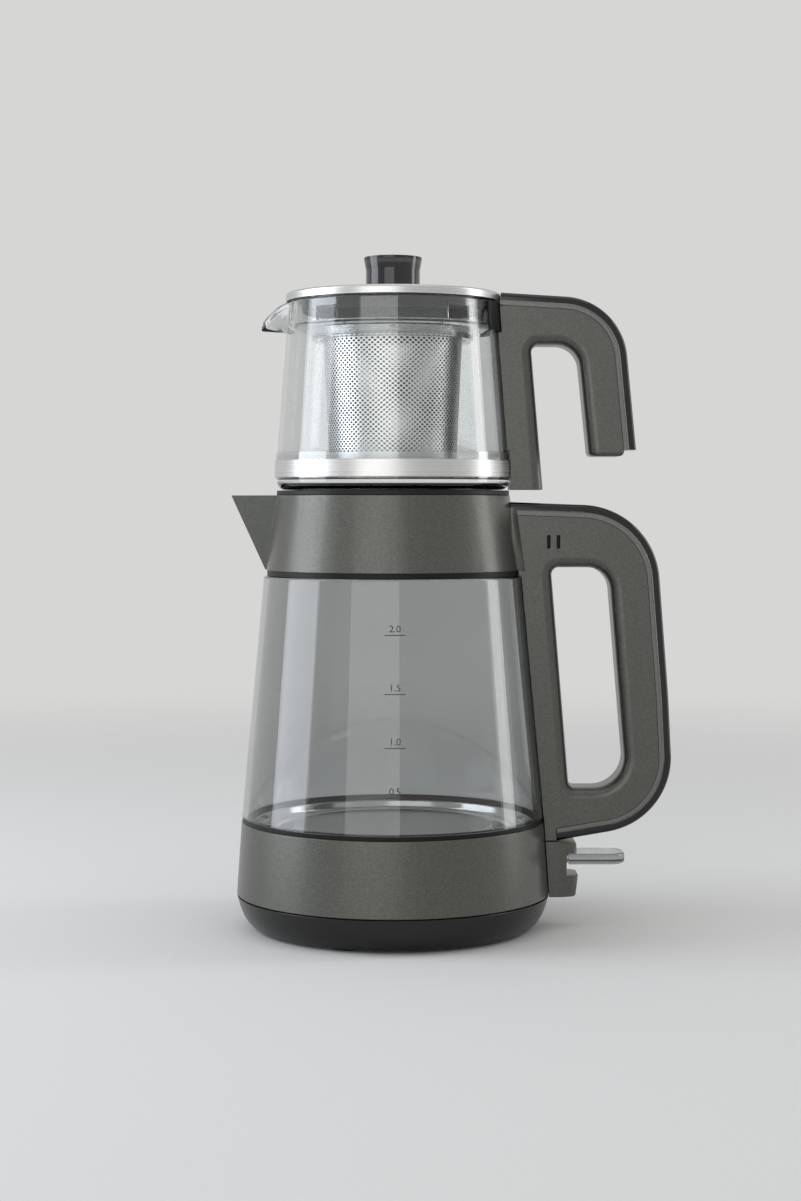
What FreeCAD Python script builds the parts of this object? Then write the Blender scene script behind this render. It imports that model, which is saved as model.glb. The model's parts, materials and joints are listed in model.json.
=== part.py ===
"""Two-tier electric tea maker: a power base, a glass kettle and a glass teapot with a strainer.

Millimetres, +Z up.  The origin is on the kettle's axis, at the table.  The spout points along -X,
the handles along +X, and the front of the appliance is its -Y side.
"""
import FreeCAD, Part
import math
import os
import re

import Sketcher

VECTOR = FreeCAD.Vector
DOC = FreeCAD.newDocument("tea_maker")
# Edges are told apart by place: equal within the first, and near a face within the second.
SAME = 0.01
PICK_MARGIN = 0.5

# ---------------------------------------------------------------- driving dimensions
# Lengths, walls, steps between neighbours and clearances.  Nothing here is a place.
SIZES = {
    # fits shared by many pieces
    "seat_gap": 0.2,
    "saddle_gap": 0.3,
    "pin_gap": 0.05,
    "press_gap": 0.02,
    "layer_gap": 0.05,
    "contact_gap": 0.5,
    "cut_margin": 10.0,
    # power base
    "foot_height": 2.0,
    "foot_radius": 7.0,
    "foot_stud_step": 2.0,
    "foot_inset": 11.0,
    "foot_turn": -21.6,
    "base_height": 17.2,
    "base_top_radius": 86.9,
    "base_undercut": 8.9,
    "base_belly_step": 5.2,
    "base_belly_rise": 4.6,
    "base_curve_radius": 22.0,
    "base_rim": 2.0,
    "base_wall": 2.4,
    "base_deck_drop": 2.0,
    "base_deck_thickness": 2.4,
    "base_lip": 2.6,
    "base_cover_thickness": 2.0,
    "base_screw_inset": 9.0,
    "label_radius": 30.0,
    "label_rise": 0.4,
    "tower_radius": 18.0,
    "tower_rise": 5.4,
    "tower_core_drop": 2.0,
    "tower_flange": 4.0,
    "tower_flange_thickness": 2.0,
    "groove_inner_radius": 8.6,
    "groove_outer_radius": 13.4,
    "groove_floor_rise": 6.0,
    "socket_radius": 4.2,
    "contact_wall": 0.9,
    "contact_height": 7.0,
    "gland_radius": 5.0,
    "gland_bore": 3.6,
    "gland_rise": 7.7,
    "gland_length": 15.0,
    "gland_stand_out": 1.0,
    # small screws
    "screw_radius": 1.5,
    "screw_head_radius": 3.0,
    "screw_head_height": 1.6,
    "screw_stand_out": 0.4,
    "screw_length": 9.0,
    "boss_radius": 4.0,
    # lower ring of the kettle
    "ring_seam": 0.6,
    "ring_height": 40.4,
    "ring_taper": 2.8,
    "ring_wall": 2.2,
    "ring_ledge": 4.0,
    "ring_ledge_thickness": 1.4,
    "ring_boss_inset": 6.7,
    "ring_boss_turn": 60.0,
    "ring_rib": 2.0,
    # kettle underside and its connector
    "cover_thickness": 2.2,
    "cover_wall_height": 5.0,
    "cover_edge_gap": 0.6,
    "connector_clearance": 2.0,
    "connector_plate_radius": 25.0,
    "connector_plate_thickness": 3.0,
    "shroud_gap": 1.0,
    "shroud_wall": 1.8,
    "terminal_wall": 1.4,
    "terminal_reach": 2.0,
    "terminal_nose": 1.2,
    # heating plate and what is fixed under it
    "plate_thickness": 0.8,
    "plate_disc_drop": 2.2,
    "plate_bead_drop": 3.2,
    "plate_valley_drop": 4.8,
    "plate_bead_inset": 17.1,
    "plate_bead_half": 3.0,
    "plate_moat": 10.0,
    "plate_disc_edge": 2.0,
    "plate_disc_foot": 1.0,
    "plate_wall_foot": 2.4,
    "plate_wall_head": 1.2,
    "spreader_inset": 7.0,
    "spreader_thickness": 2.0,
    "element_inset": 12.0,
    "element_radius": 3.6,
    "element_end_step": 1.0,
    "element_end_length": 16.0,
    "element_sweep": 300.0,
    "cutout_size": 15.0,
    "cutout_corner": 2.0,
    "cutout_thickness": 3.0,
    # glass body of the kettle with its two seals
    "seal_height": 2.4,
    "seal_lip": 2.2,
    "seal_lip_inner": 1.2,
    "seal_inset": 0.4,
    "glass_step": 0.2,
    "glass_height": 133.4,
    "glass_taper": 12.45,
    "glass_wall": 3.0,
    "glass_shoulder": 1.3,
    "upper_seal_height": 3.0,
    # collar with its V spout, and the ring that carries the teapot
    "collar_step": 1.35,
    "collar_height": 41.2,
    "collar_taper": 5.55,
    "collar_wall": 2.4,
    "spout_length": 25.25,
    "spout_root_depth": 14.55,
    "spout_slope": 0.57,
    "spout_foot_length": 0.9,
    "spout_wall": 2.0,
    "spout_floor": 9.0,
    "spout_inner_step": 3.0,
    "wing_inset": 6.55,
    "wing_drop": 6.6,
    "wing_stand_off": 2.2,
    "wing_edge": 0.8,
    "wing_width": 6.0,
    "wing_run": 6.4,
    "wing_curve_radius": 21.0,
    "wing_root": 8.0,
    "pot_ring_thickness": 2.6,
    "pot_ring_width": 12.55,
    "pot_ring_skirt": 8.0,
    "pot_ring_skirt_wall": 2.0,
    "pot_ring_skirt_gap": 0.4,
    "pot_ring_lip": 2.0,
    "pot_ring_lip_step": 0.4,
    "pot_ring_notch": 12.0,
    # handle of the kettle
    "handle_width": 28.0,
    "handle_tuck": 12.5,
    "handle_start_drop": 2.95,
    "handle_top_reach": 79.1,
    "handle_top_drop": 6.7,
    "handle_top_radius": 43.5,
    "handle_waist_reach": 67.9,
    "handle_waist_rise": 68.5,
    "handle_waist_radius": 900.0,
    "handle_low_reach": 71.3,
    "handle_low_rise": 0.4,
    "handle_low_radius": 41.5,
    "handle_sole_slope": 9.9,
    "handle_foot_reach": 6.3,
    "handle_foot_drop": 10.6,
    "handle_foot_height": 20.0,
    "handle_root": 20.0,
    "strip_foot_height": 30.0,
    "trim_thickness": 3.9,
    "trim_side_step": 1.6,
    "trim_edge": 2.6,
    "band_thickness": 3.0,
    "band_edge": 1.2,
    "grip_edge": 6.0,
    "gap_upper_wall": 15.55,
    "gap_lower_wall": 13.3,
    "grip_upper_width": 24.95,
    "grip_lower_width": 26.3,
    "handle_bridge": 32.9,
    "handle_sole": 18.2,
    "gap_small_radius": 4.0,
    "gap_upper_radius": 13.0,
    "gap_lower_radius": 17.0,
    "vent_offset": 15.4,
    "vent_rise": 12.0,
    "vent_pitch": 5.3,
    "vent_height": 7.3,
    "vent_width": 1.7,
    "vent_corner": 0.765,
    "vent_depth": 3.0,
    # steam duct from the collar to the switch
    "steam_radius": 1.8,
    "steam_inlet_depth": 1.45,
    "steam_rise": 15.0,
    "steam_bend_offset": 8.5,
    "steam_bend_radius": 6.0,
    "steam_outlet_inset": 0.6,
    "steam_outlet_drop": 0.8,
    # switch housing and lever
    "housing_overlap": 0.8,
    "housing_low_depth": 14.2,
    "housing_belly_depth": 15.8,
    "housing_high_depth": 14.6,
    "housing_low_corner": 1.5,
    "housing_high_corner": 1.0,
    "housing_shoulder": 1.2,
    "slot_depth_left": 9.1,
    "slot_height": 12.5,
    "slot_drop": 6.7,
    "chamber_wall": 1.7,
    "chamber_side_gap": 0.6,
    "chamber_floor": 2.2,
    "chamber_rise": 3.2,
    "mouth_wall": 1.0,
    "pivot_inset": 3.6,
    "pivot_drop": 4.0,
    "pin_radius": 1.5,
    "pin_inset": 1.5,
    "lever_hub_radius": 3.4,
    "lever_hub_step": 3.0,
    "lever_length": 32.7,
    "lever_clearance": 0.5,
    "lever_thickness": 5.9,
    "lever_side_gap": 2.0,
    "lever_corner": 9.0,
    "lever_edge": 1.4,
    "lever_root_gap": 1.2,
    "neck_reach": 2.0,
    "neck_floor": 0.4,
    "neck_roof": 1.2,
    "switch_gap": 2.2,
    "leaf_height": 1.9,
    "leaf_width": 6.0,
    "lamp_radius": 1.5,
    "lamp_height": 3.0,
    # teapot
    "pot_step": 0.35,
    "pot_height": 102.6,
    "pot_taper": 6.7,
    "pot_shoulder_rise": 17.0,
    "pot_shoulder_radius": 40.0,
    "pot_heel_radius": 4.6,
    "pot_inner_heel": 2.6,
    "pot_wall": 2.6,
    "pot_floor_lift": 3.0,
    "pot_floor_step": 2.0,
    "pot_floor_inset": 2.5,
    "pot_floor_thickness": 2.6,
    "lip_length": 14.8,
    "lip_drop": 12.0,
    "lip_half_width": 17.0,
    "lip_depth": 18.0,
    "lip_wall": 2.0,
    "lip_floor_share": 0.55,
    "lip_rounding_share": 0.3,
    "lip_root_depth": 12.0,
    "lip_root_under": 2.0,
    "lip_swell_depth": 1.0,
    "lip_swell_share": 0.92,
    "lip_bend": 5.0,
    "lip_bend_share": 0.5,
    "lip_bend_under": 1.6,
    "lip_bend_drop": 5.2,
    "lip_bend_wall": 1.6,
    "lip_bend_floor": 1.4,
    "lip_tip_share": 0.22,
    "lip_tip_under": 0.8,
    "lip_tip_over": 1.6,
    "lip_tip_wall": 1.3,
    "lip_tip_floor": 0.9,
    "lip_tip_open": 6.0,
    "lip_open": 4.0,
    "pot_liner_rise": 6.2,
    "pot_liner_width": 14.4,
    "pot_liner_thickness": 0.4,
    "pot_liner_gap": 0.15,
    "pot_band_rise": 0.7,
    "pot_band_width": 9.4,
    "pot_band_thickness": 0.6,
    # handle of the teapot
    "hook_start_rise": 6.4,
    "hook_top_reach": 67.9,
    "hook_top_rise": 1.3,
    "hook_top_radius": 36.0,
    "hook_end_reach": 69.3,
    "hook_end_rise": 22.0,
    "hook_end_step": 3.4,
    "hook_tip_edge": 2.5,
    "hook_leg_top": 18.1,
    "hook_leg_bottom": 18.6,
    "hook_bridge": 24.4,
    "hook_grip_width": 24.2,
    "hook_end_width": 25.9,
    "hook_reach_radius": 13.0,
    "hook_overrun": 5.0,
    "hook_throat_step": 2.4,
    "saddle_thickness": 1.6,
    "saddle_height": 16.0,
    "saddle_half_angle": 29.0,
    # strainer
    "holder_gap": 0.5,
    "holder_wall": 1.4,
    "holder_rim_thickness": 1.0,
    "shelf_drop": 13.2,
    "shelf_fall": 5.8,
    "shelf_width": 11.5,
    "shelf_thickness": 1.4,
    "shelf_face": 0.8,
    "shelf_foot": 1.2,
    "shelf_seat_gap": 1.4,
    "window_angle": 50.0,
    "window_width": 14.0,
    "window_rise": 1.6,
    "window_height": 7.6,
    "flange_height": 6.0,
    "flange_width": 4.5,
    "flange_wall": 0.7,
    "flange_hole": 1.1,
    "flange_hole_rise": 3.6,
    "basket_taper": 3.4,
    "basket_lift": 12.0,
    "basket_wall": 0.6,
    "basket_drop": 1.0,
    "basket_fit": 0.1,
    # lid
    "lid_overhang": 1.6,
    "lid_lift": 0.8,
    "lid_height": 4.6,
    "lid_sheet": 0.8,
    "lid_edge": 1.2,
    "lid_keep_off": 1.8,
    "lid_keep_drop": 2.2,
    "plug_gap": 2.4,
    "plug_wall": 1.6,
    "plug_depth": 7.0,
    "plug_draft": 0.8,
    "knob_radius": 14.9,
    "knob_flare": 1.1,
    "knob_flare_height": 7.0,
    "knob_flare_radius": 6.0,
    "knob_height": 20.0,
    "knob_rim": 1.2,
    "knob_rim_width": 2.2,
    "knob_wall": 2.2,
    "knob_core": 5.0,
    "knob_dish": 1.0,
}

# ---------------------------------------------------------------- places
# Where things are, worked out from the sizes.  Heights are above the table, radii from the
# kettle's axis, and an _x is a distance along +X from that axis.
PLACES = {
    "base_top_height": "foot_height + base_height",
    "base_bottom_radius": "base_top_radius - base_undercut",
    "base_cover_radius": "base_bottom_radius - base_lip",
    "base_inner_height": "foot_height + base_cover_thickness",
    "deck_height": "base_top_height - base_deck_drop",
    "deck_underside": "deck_height - base_deck_thickness",
    "foot_circle": "base_bottom_radius - foot_inset",
    "base_screw_circle": "foot_circle - base_screw_inset",
    "base_screw_turn": "foot_turn + 45",
    "tower_height": "base_top_height + tower_rise",
    "groove_floor": "foot_height + groove_floor_rise",
    "gland_height": "foot_height + gland_rise",
    "gland_end": "base_top_radius + gland_stand_out",
    "ring_bottom_height": "base_top_height + ring_seam",
    "ring_top_height": "ring_bottom_height + ring_height",
    "ring_bottom_radius": "base_top_radius",
    "ring_top_radius": "ring_bottom_radius - ring_taper",
    "ring_ledge_radius": "ring_top_radius - ring_wall - ring_ledge",
    "ring_ledge_height": "ring_top_height - plate_thickness",
    "ring_boss_circle": "ring_top_radius - ring_boss_inset",
    "cover_bottom": "deck_height + seat_gap",
    "cover_radius": "ring_bottom_radius - ring_wall - cover_edge_gap",
    "shroud_inner": "tower_radius + shroud_gap",
    "connector_bottom": "tower_height + connector_clearance",
    "connector_top": "connector_bottom + connector_plate_thickness",
    "terminal_radius": "groove_outer_radius - contact_wall - contact_gap",
    "terminal_pin_radius": "socket_radius - contact_wall - contact_gap",
    "plate_disc_height": "ring_top_height - plate_disc_drop",
    "plate_bead_height": "ring_top_height - plate_bead_drop",
    "plate_valley_height": "ring_top_height - plate_valley_drop",
    "plate_bead_radius": "ring_top_radius - plate_bead_inset",
    "plate_disc_radius": "plate_bead_radius - plate_moat",
    "spreader_radius": "plate_disc_radius - spreader_inset",
    "spreader_top": "plate_disc_height - plate_thickness",
    "spreader_bottom": "spreader_top - spreader_thickness",
    "element_circle": "spreader_radius - element_inset",
    "glass_bottom_height": "ring_top_height + seal_height",
    "glass_top_height": "glass_bottom_height + glass_height",
    "glass_bottom_radius": "ring_top_radius - glass_step",
    "glass_top_radius": "glass_bottom_radius - glass_taper",
    "collar_bottom_height": "glass_top_height + upper_seal_height",
    "collar_top_height": "collar_bottom_height + collar_height",
    "collar_bottom_radius": "glass_top_radius - collar_step",
    "collar_top_radius": "collar_bottom_radius - collar_taper",
    "spout_reach": "collar_top_radius + spout_length",
    "spout_foot_reach": "collar_bottom_radius + spout_foot_length",
    "spout_root": "collar_top_radius - spout_root_depth",
    "wing_start": "collar_top_radius - wing_inset",
    "wing_top_height": "collar_top_height - wing_drop",
    "pot_ring_bore": "collar_top_radius - pot_ring_width",
    "handle_inner_end": "pot_top_radius - handle_tuck",
    "handle_top_start": "collar_top_height - handle_start_drop",
    "handle_top_x": "collar_top_radius + handle_top_reach",
    "handle_top_z": "collar_top_height - handle_top_drop",
    "handle_low_x": "ring_top_radius + handle_low_reach",
    "handle_low_z": "ring_top_height + handle_low_rise",
    "handle_waist_x": "ring_top_radius + handle_waist_reach",
    "handle_waist_z": "handle_low_z + handle_waist_rise",
    "handle_foot_x": "ring_top_radius + handle_foot_reach",
    "handle_foot_z": "ring_top_height - handle_foot_drop",
    "gap_upper_left_x": "glass_top_radius + gap_upper_wall",
    "gap_upper_right_x": "handle_top_x - grip_upper_width",
    "gap_upper_z": "handle_top_z - handle_bridge",
    "gap_lower_left_x": "glass_bottom_radius + gap_lower_wall",
    "gap_lower_right_x": "handle_low_x - grip_lower_width",
    "gap_lower_z": "handle_low_z + handle_sole",
    "vent_x": "collar_bottom_radius + vent_offset",
    "vent_bottom_z": "collar_bottom_height + vent_rise",
    "steam_inlet_x": "collar_top_radius + steam_inlet_depth",
    "steam_inlet_z": "collar_bottom_height + steam_rise",
    "steam_bend_x": "collar_bottom_radius + steam_bend_offset",
    "steam_outlet_x": "chamber_x - steam_outlet_inset",
    "steam_outlet_z": "chamber_top_z - steam_outlet_drop",
    "housing_bottom_z": "base_top_height - housing_overlap",
    "housing_top_z": "handle_foot_z - saddle_gap",
    "housing_low_x": "ring_bottom_radius + housing_low_depth",
    "housing_belly_x": "ring_bottom_radius + housing_belly_depth",
    "housing_high_x": "ring_bottom_radius + housing_high_depth",
    "slot_x": "ring_bottom_radius + slot_depth_left",
    "slot_top_z": "housing_top_z - slot_drop",
    "slot_bottom_z": "slot_top_z - slot_height",
    "lever_width": "handle_width - 2 * lever_side_gap",
    "lever_hub_width": "lever_width - 2 * lever_hub_step",
    "chamber_half_width": "lever_hub_width / 2 + chamber_side_gap",
    "chamber_x": "ring_bottom_radius + chamber_wall",
    "chamber_bottom_z": "housing_bottom_z + chamber_floor",
    "chamber_top_z": "slot_top_z + chamber_rise",
    "lever_pivot_x": "slot_x - pivot_inset",
    "lever_pivot_z": "slot_top_z - pivot_drop",
    "lever_tip_x": "slot_x + lever_length",
    "lever_top_z": "slot_top_z - lever_clearance",
    "lever_bottom_z": "lever_top_z - lever_thickness",
    "switch_top_z": "lever_pivot_z - lever_hub_radius - switch_gap",
    "pot_bottom_height": "collar_top_height + pot_ring_thickness + seat_gap",
    "pot_shoulder_height": "pot_bottom_height + pot_shoulder_rise",
    "pot_top_height": "pot_bottom_height + pot_height",
    "pot_body_radius": "collar_top_radius - pot_step",
    "pot_foot_radius": "pot_body_radius - pot_heel_radius",
    "pot_top_radius": "pot_body_radius - pot_taper",
    "lip_reach": "pot_top_radius + lip_length",
    "lip_tip_height": "pot_top_height - lip_drop",
    "lip_floor_z": "pot_top_height - lip_depth",
    "pot_liner_height": "pot_bottom_height + pot_liner_rise",
    "pot_liner_radius": "pot_body_radius + pot_liner_gap",
    "pot_band_height": "pot_liner_height + pot_band_rise",
    "pot_band_radius": "pot_liner_radius + pot_liner_thickness + pin_gap",
    "hook_top_start": "pot_top_height + hook_start_rise",
    "hook_top_x": "pot_top_radius + hook_top_reach",
    "hook_top_z": "pot_top_height + hook_top_rise",
    "hook_end_x": "pot_body_radius + hook_end_reach",
    "hook_end_z": "pot_bottom_height + hook_end_rise",
    "hook_main_end_z": "hook_end_z - hook_end_step",
    "hook_inner_x": "pot_top_radius + hook_leg_top",
    "hook_inner_z": "hook_top_z - hook_bridge",
    "hook_reach_x": "hook_top_x - hook_grip_width",
    "hook_low_x": "hook_end_x - hook_end_width",
    "hook_leg_x": "pot_body_radius + hook_leg_bottom",
    "hook_leg_z": "pot_bottom_height + seat_gap",
    "hook_low_z": "hook_leg_z - 2 * cut_margin",
    "saddle_bottom_z": "pot_top_height - saddle_height",
    "holder_rim_radius": "pot_top_radius - saddle_gap",
    "holder_rim_bottom": "pot_top_height + seat_gap",
    "holder_top_z": "holder_rim_bottom + holder_rim_thickness",
    "holder_radius": "pot_top_radius - pot_wall - holder_gap",
    "shelf_top_z": "pot_top_height - shelf_drop",
    "shelf_bottom_z": "shelf_top_z - shelf_fall",
    "shelf_seat_radius": "basket_top_radius + shelf_seat_gap",
    "shelf_seat_z": "shelf_bottom_z - shelf_thickness",
    "window_bottom_z": "shelf_top_z + window_rise",
    "flange_radius": "holder_radius - shelf_width",
    "flange_bottom_z": "shelf_bottom_z + seat_gap",
    "flange_top_z": "flange_bottom_z + flange_height",
    "flange_hole_z": "flange_bottom_z + flange_hole_rise",
    "basket_top_radius": "flange_radius - flange_width",
    "basket_bottom_radius": "basket_top_radius - basket_taper",
    "basket_bottom_z": "pot_bottom_height + basket_lift",
    "basket_top_z": "flange_top_z - basket_drop",
    "lid_radius": "pot_top_radius + lid_overhang",
    "keep_off_z": "pot_top_height - lid_keep_drop",
    "lid_bottom_z": "pot_top_height + lid_lift",
    "lid_top_z": "lid_bottom_z + lid_height",
    "lid_underside": "lid_top_z - lid_sheet",
    "plug_radius": "holder_radius - holder_wall - plug_gap",
    "plug_rim_radius": "holder_radius + seat_gap",
    "plug_seat_z": "holder_top_z + seat_gap",
    "knob_top_z": "lid_top_z + knob_height",
    "knob_flare_z": "knob_top_z - knob_flare_height",
    "knob_top_radius": "knob_radius + knob_flare",
}

SHEET = DOC.addObject("Spreadsheet::Sheet", "Sizes")
for row, (alias, size) in enumerate(SIZES.items(), start=1):
    SHEET.set(f"A{row}", alias)
    SHEET.set(f"B{row}", str(size))
    SHEET.setAlias(f"B{row}", alias)
DOC.recompute()


# ---------------------------------------------------------------- formulas and sketches
def worked_out(text):
    """The text with each named place turned into the sizes that it comes from."""
    def spelled(match):
        word = match.group()
        return f"({worked_out(PLACES[word])})" if word in PLACES else word
    return re.sub(r"[a-z][a-z_]*", spelled, str(text))


def formula(text):
    """The text with each named size turned into a reference to its cell."""
    def cell(match):
        word = match.group()
        return "Sizes." + word if word in SIZES else word
    return re.sub(r"[a-z][a-z_]*", cell, worked_out(text))


def value(text):
    """What a formula comes to with the sizes in the sheet."""
    return float(SHEET.evalExpression(worked_out(text)))


def bind(item, prop, text):
    item.setExpression(prop, formula(text))


def new_body(name):
    body = DOC.addObject("PartDesign::Body", name)
    body.Label = name
    return body


def new_sketch(body, plane="XZ_Plane", height=None):
    """A sketch on one of the body's own origin planes, moved along the plane's normal."""
    sketch = body.newObject("Sketcher::SketchObject", body.Name + "_sketch")
    support = [item for item in body.Origin.OriginFeatures if item.Role == plane][0]
    sketch.AttachmentSupport = [(support, "")]
    sketch.MapMode = "FlatFace"
    if height is not None:
        bind(sketch, "AttachmentOffset.Base.z", height)
    return sketch


def constrain(sketch, kind, *where, text):
    """A dimension of the sketch, bound to a formula."""
    index = sketch.addConstraint(Sketcher.Constraint(kind, *where, value(text)))
    bind(sketch, f"Constraints[{index}]", text)


def place_point(sketch, item, vertex, x_text, y_text):
    constrain(sketch, "DistanceX", -1, 1, item, vertex, text=x_text)
    constrain(sketch, "DistanceY", -1, 1, item, vertex, text=y_text)


def tangent_points(corner, before, after, radius):
    """Where a rounding of this radius leaves its two sides, and its centre."""
    back = (before - corner).normalize()
    ahead = (after - corner).normalize()
    half = back.getAngle(ahead) / 2
    run = radius / math.tan(half)
    centre = corner + (back + ahead).normalize() * (radius / math.sin(half))
    return corner + back * run, corner + ahead * run, centre


def draw_outline(sketch, corners, closed=True):
    """Straight sides between corners (x, y) or (x, y, rounding radius), each side tangent to its arcs."""
    points = [VECTOR(value(corner[0]), value(corner[1]), 0) for corner in corners]
    count = len(points)
    stops = []
    for index, corner in enumerate(corners):
        if len(corner) == 3:
            ahead = points[(index + 1) % count]
            stops.append(tangent_points(points[index], points[index - 1], ahead, value(corner[2])))
        else:
            stops.append((points[index], points[index], None))
    sides = []
    for index in range(count if closed else count - 1):
        side = Part.LineSegment(stops[index][1], stops[(index + 1) % count][0])
        sides.append(sketch.addGeometry(side))
    if not closed:
        place_point(sketch, sides[0], 1, *corners[0][:2])
        place_point(sketch, sides[-1], 2, *corners[-1][:2])
    for index, corner in enumerate(corners):
        if not closed and index in (0, count - 1):
            continue
        before, after = sides[index - 1], sides[index]
        if len(corner) == 3:
            round_corner(sketch, corner, before, after, points[index], stops[index])
        else:
            sketch.addConstraint(Sketcher.Constraint("Coincident", before, 2, after, 1))
            place_point(sketch, after, 1, *corner)


def round_corner(sketch, corner, before, after, point, stop):
    start, end, centre = stop
    radius = value(corner[2])
    turns_left = (start - centre).cross(end - centre).z > 0
    first, last = (start, end) if turns_left else (end, start)
    first_angle = math.atan2(first.y - centre.y, first.x - centre.x)
    last_angle = math.atan2(last.y - centre.y, last.x - centre.x)
    if last_angle < first_angle:
        last_angle += 2 * math.pi
    circle = Part.Circle(centre, VECTOR(0, 0, 1), radius)
    arc = sketch.addGeometry(Part.ArcOfCircle(circle, first_angle, last_angle))
    entry, leave = (1, 2) if turns_left else (2, 1)
    sketch.addConstraint(Sketcher.Constraint("Tangent", before, 2, arc, entry))
    sketch.addConstraint(Sketcher.Constraint("Tangent", arc, leave, after, 1))
    mark = sketch.addGeometry(Part.Point(point), True)
    sketch.addConstraint(Sketcher.Constraint("PointOnObject", mark, 1, before))
    sketch.addConstraint(Sketcher.Constraint("PointOnObject", mark, 1, after))
    constrain(sketch, "Radius", arc, text=corner[2])
    place_point(sketch, mark, 1, *corner[:2])


def draw_circle(sketch, x_text, y_text, radius_text):
    centre = VECTOR(value(x_text), value(y_text), 0)
    circle = sketch.addGeometry(Part.Circle(centre, VECTOR(0, 0, 1), value(radius_text)))
    place_point(sketch, circle, 3, x_text, y_text)
    constrain(sketch, "Radius", circle, text=radius_text)


def rectangle(left, bottom, right, top):
    return [(left, bottom), (right, bottom), (right, top), (left, top)]


def slanted_rectangle(inner, outer, half_width, angle):
    """A rectangle in plan that runs outwards from the axis at an angle."""
    corners = []
    for along, across in ((inner, f"-({half_width})"), (outer, f"-({half_width})"),
                          (outer, half_width), (inner, half_width)):
        x_text = f"({along}) * cos({angle}) - ({across}) * sin({angle})"
        y_text = f"({along}) * sin({angle}) + ({across}) * cos({angle})"
        corners.append((x_text, y_text))
    return corners


def outline_sketch(body, corners, plane="XZ_Plane", height=None):
    sketch = new_sketch(body, plane, height)
    draw_outline(sketch, corners)
    return sketch


def inset(corners, distance):
    """The same outline, drawn anticlockwise, moved inwards with its roundings kept parallel."""
    points = [VECTOR(value(corner[0]), value(corner[1]), 0) for corner in corners]
    moved = []
    for index, corner in enumerate(corners):
        back = (points[index] - points[index - 1]).normalize()
        ahead = (points[(index + 1) % len(points)] - points[index]).normalize()
        normal_back = VECTOR(-back.y, back.x, 0)
        normal_ahead = VECTOR(-ahead.y, ahead.x, 0)
        shift = (normal_back + normal_ahead) * (1 / (1 + normal_back.dot(normal_ahead)))
        place = (f"{corner[0]} + ({distance}) * ({shift.x:.6f})",
                 f"{corner[1]} + ({distance}) * ({shift.y:.6f})")
        rounding = (f"{corner[2]} - ({distance})",) if len(corner) == 3 else ()
        moved.append(place + rounding)
    return moved


# ---------------------------------------------------------------- features
def finish(body, feature):
    """The feature becomes the body's last one, once it has been worked out."""
    body.Tip = feature
    DOC.recompute()
    return feature


def revolve(body, corners, cut=False):
    kind = "PartDesign::Groove" if cut else "PartDesign::Revolution"
    feature = body.newObject(kind, body.Name + "_turned")
    sketch = outline_sketch(body, corners)
    feature.Profile = sketch
    feature.ReferenceAxis = (sketch, ["V_Axis"])
    feature.Angle = 360
    return finish(body, feature)


def turned(name, corners):
    body = new_body(name)
    revolve(body, corners)
    return body


def extrude(body, sketch, length, cut=False, both_ways=False, backwards=False):
    kind = "PartDesign::Pocket" if cut else "PartDesign::Pad"
    feature = body.newObject(kind, body.Name + "_extruded")
    feature.Profile = sketch
    feature.Midplane = both_ways
    feature.Reversed = backwards
    bind(feature, "Length", length)
    return finish(body, feature)


def plate(name, corners, width):
    """A flat piece that lies in the XZ plane and is as thick on both sides of it."""
    body = new_body(name)
    extrude(body, outline_sketch(body, corners), width, both_ways=True)
    return body


def cut_plate(body, corners, width):
    extrude(body, outline_sketch(body, corners), width, cut=True, both_ways=True)


def loft(body, sections, cut=False, ruled=True):
    kind = "PartDesign::SubtractiveLoft" if cut else "PartDesign::AdditiveLoft"
    feature = body.newObject(kind, body.Name + "_lofted")
    feature.Profile = sections[0]
    feature.Sections = sections[1:]
    feature.Ruled = ruled
    return finish(body, feature)


def fillet(body, radius, chosen):
    """Rounds each edge of the body that the test picks."""
    base = body.Tip
    names = [f"Edge{number}" for number, edge in enumerate(base.Shape.Edges, start=1) if chosen(edge)]
    feature = body.newObject("PartDesign::Fillet", body.Name + "_rounded")
    feature.Base = (base, names)
    bind(feature, "Radius", radius)
    return finish(body, feature)


def repeat(body, feature, count, span=360):
    """A polar pattern of one feature about the body's Z axis."""
    pattern = body.newObject("PartDesign::PolarPattern", body.Name + "_repeated")
    axis = [item for item in body.Origin.OriginFeatures if item.Role == "Z_Axis"][0]
    pattern.Originals = [feature]
    pattern.Axis = (axis, [""])
    pattern.Angle = span
    pattern.Occurrences = count
    return finish(body, pattern)


def mirror(body, feature, plane="XZ_Plane"):
    mirrored = body.newObject("PartDesign::Mirrored", body.Name + "_mirrored")
    support = [item for item in body.Origin.OriginFeatures if item.Role == plane][0]
    mirrored.Originals = [feature]
    mirrored.MirrorPlane = (support, [""])
    return finish(body, mirrored)


def at_circle(radius, angle):
    """The formulas of a point on a circle about the axis."""
    return f"({radius}) * cos({angle})", f"({radius}) * sin({angle})"


def round_bosses(body, circle, angle, radius, bottom, length, count, cut=False):
    """Round pillars, or round holes, that stand along Z on a circle about the axis."""
    sketch = new_sketch(body, "XY_Plane", bottom)
    draw_circle(sketch, *at_circle(circle, angle), radius)
    feature = extrude(body, sketch, length, cut=cut, backwards=cut)
    repeat(body, feature, count)


def on_circle(edge, radius_text, height_text):
    """True for a full circle about the axis with this radius and height."""
    curve = edge.Curve
    if not isinstance(curve, Part.Circle):
        return False
    level = abs(curve.Center.z - value(height_text)) < SAME
    return level and abs(curve.Radius - value(radius_text)) < SAME


def level_edge(edge, height_text):
    bound = edge.BoundBox
    return bound.ZLength < SAME and abs(bound.ZMin - value(height_text)) < SAME


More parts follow.
